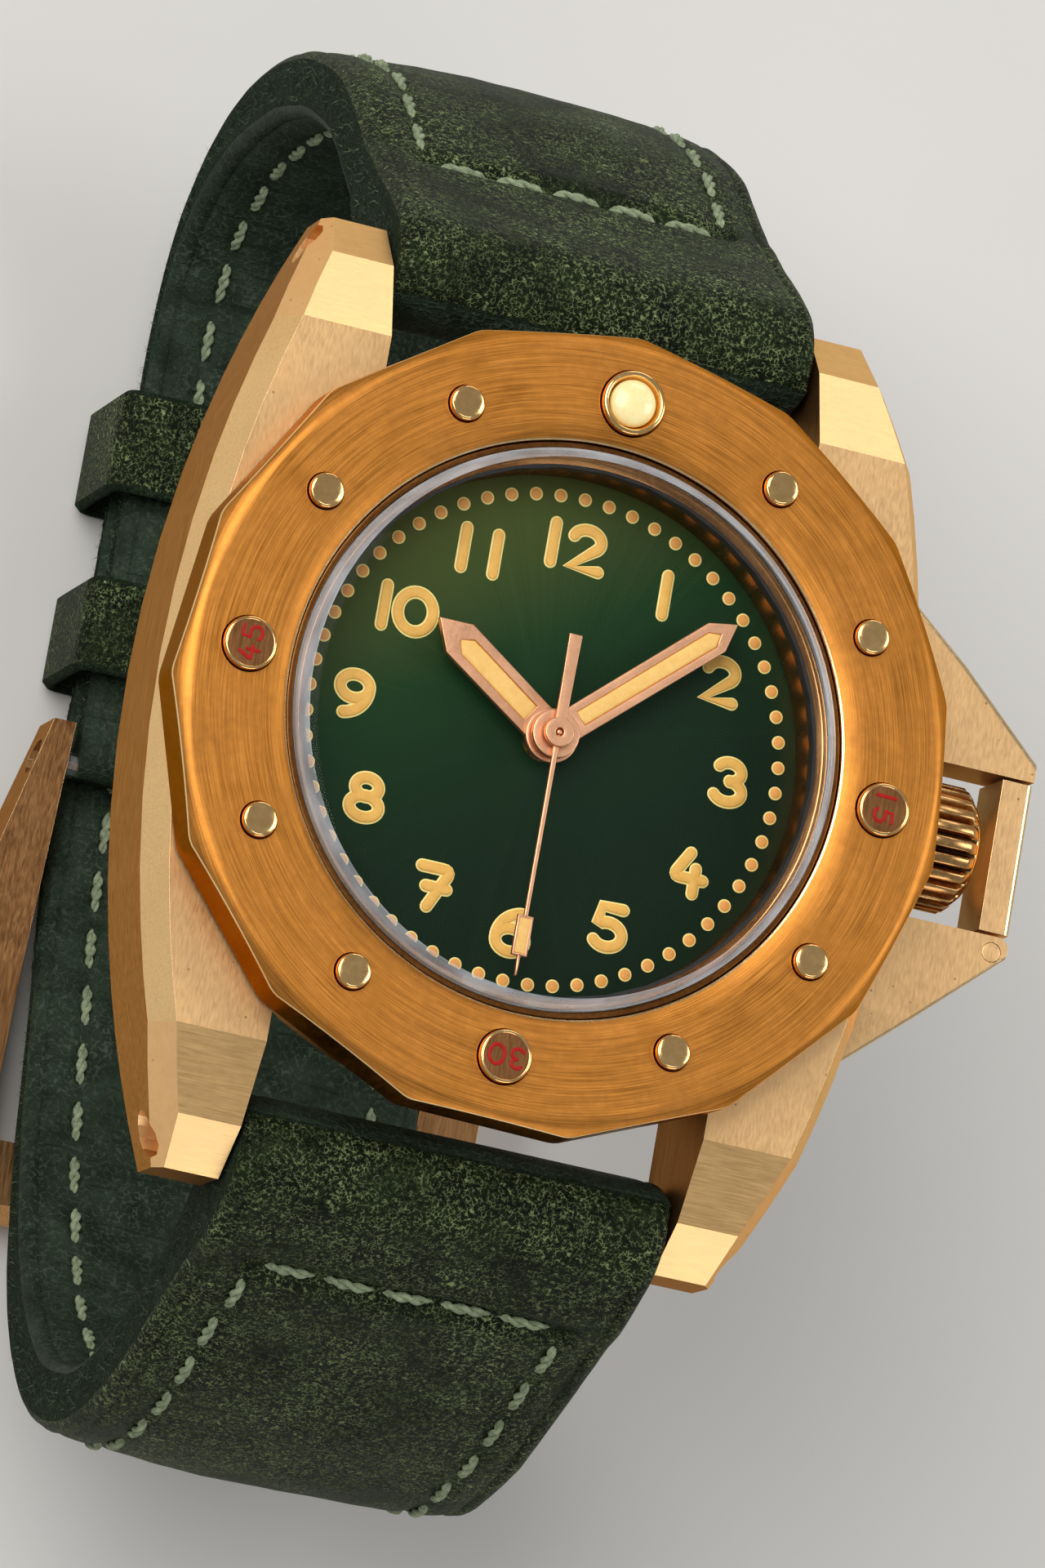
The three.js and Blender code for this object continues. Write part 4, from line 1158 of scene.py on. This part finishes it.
def build_keeper(name, node, body, y0, y1):
    """A leather loop round both straps."""
    half, high, wall, rim = 14.4, -42.3, 0.92, 0.35
    outer = rounded(box(-half, half, REST_Z, high), 1.6, 7)
    inner = inset(outer, wall)
    outer_rim, inner_rim = inset(outer, rim), inset(inner, -rim)
    rings = [
        [(x, y, z) for x, z in outline] for outline, y in (
            (outer_rim, y0), (outer, y0 + rim), (outer, y1 - rim), (outer_rim, y1),
            (inner_rim, y1), (inner, y1 - rim), (inner, y0 + rim), (inner_rim, y0))]
    solid = Solid().loft(rings, wrap=True, paint=lambda i, j: (1, 0, 1, 1, 1, 2, 1, 1)[i])
    build(name, solid, [HIDE, CUT_EDGE, LINING], body, (node,), sharp=60)


build_keeper("keeper_fixed", "fixed_keeper", "upper_strap", 9.5, 15.5)
build_keeper("keeper_free", "free_keeper", "sliding_keeper", 21, 27.5)

# ---------------------------------------------------------------- buckle, screws and the rest of the CAD
SCREWS = [f"screw_{end}_{side}" for end in ("top", "bottom") for side in ("right", "left")]
for name, node, body, finish, width in (
        ("buckle", "buckle_frame", "buckle", BRUSH_SHADED, 0.45),
        ("tongue", "buckle_tongue", "tongue", BRUSH_SHADED, 0.22),
        *((screw, "strap_" + screw, "case", POLISH, 0.08) for screw in SCREWS),
        ("back_cover", "caseback", "case", BRUSH_SHADED, 0.12)):
    refine(name, node, [finish, GOLD], body, [(width, lambda p: True)])

FINISHES = {
    "bronze": BRUSH_SHADED, "aged_bronze": PATINA, "polished_bronze": POLISH, "steel": STEEL, "brass": BRASS,
    "rubber": BLACK, "glass": CRYSTAL, "dial_green": DIAL, "lume": LUME, "leather": HIDE,
}
slots = {row["node"]: row["material_slot"] for row in frame["record"]["subparts"]}
for node, obj in frame["nodes"].items():
    obj.data.materials.clear()
    obj.data.materials.append(FINISHES[slots[node]])


# ---------------------------------------------------------------- floor, light and camera
def build_floor():
    size = 3000
    s = Shader("pale_floor")
    colour = s.mix(s.noise(0.02, 3, 0.5), (0.56, 0.55, 0.53), (0.62, 0.61, 0.59))
    mesh = mesh_of("floor", lift(box(-size, size, -size, size), REST_Z - 0.02), [(0, 1, 2, 3)])
    mesh.materials.append(s.surface(colour=colour, rough=0.75, specular=0.2))
    floor = link("floor", mesh)


def add_light(name, place_at, size, power, colour=(1, 1, 1)):
    """A soft box that faces the watch, from a place in metres."""
    lamp = bpy.data.lights.new(name, "AREA")
    lamp.shape, lamp.size, lamp.size_y = "RECTANGLE", size[0], size[1]
    lamp.energy, lamp.color = power, colour
    obj = link(name, lamp)
    obj.location = place_at
    obj.rotation_mode = "QUATERNION"
    obj.rotation_quaternion = (-Vector(place_at)).to_track_quat("-Z", "Y")


def build_camera():
    """The photograph's own view, solved from the bezel's studs, the dial and the lugs."""
    right, up = (0.93483273, 0.16647034, 0.31364853), (-0.21924234, 0.96542057, 0.14105287)
    back = (-0.27932163, -0.20062588, 0.93900409)
    data = bpy.data.cameras.new("camera")
    data.lens, data.sensor_width, data.clip_start, data.clip_end = 207.35, 36, 0.01, 10
    camera = link("camera", data)
    axes = Matrix((right, up, back)).transposed().to_4x4()
    camera.matrix_world = Matrix.Translation((-0.1424, -0.1045, 0.4872)) @ axes
    scene.camera = camera


build_floor()
build_camera()
world = bpy.data.worlds.new("studio")
scene.world = world
world.use_nodes = True
sky = world.node_tree.nodes["Background"].inputs
sky["Color"].default_value = (0.92, 0.94, 0.97, 1)
sky["Strength"].default_value = 0.32
add_light("key", (-0.45, 0.22, 0.76), (0.75, 0.75), 8.6, (1, 0.98, 0.95))
add_light("back", (0.28, 0.85, 0.43), (0.5, 0.25), 1.4, (1, 0.98, 0.95))
add_light("front", (0.28, -0.85, 0.16), (0.6, 0.28), 1.4, (1, 0.97, 0.93))
add_light("right", (0.75, 0.1, 0.5), (0.35, 0.5), 2.5)
scene.view_settings.view_transform = "Standard"
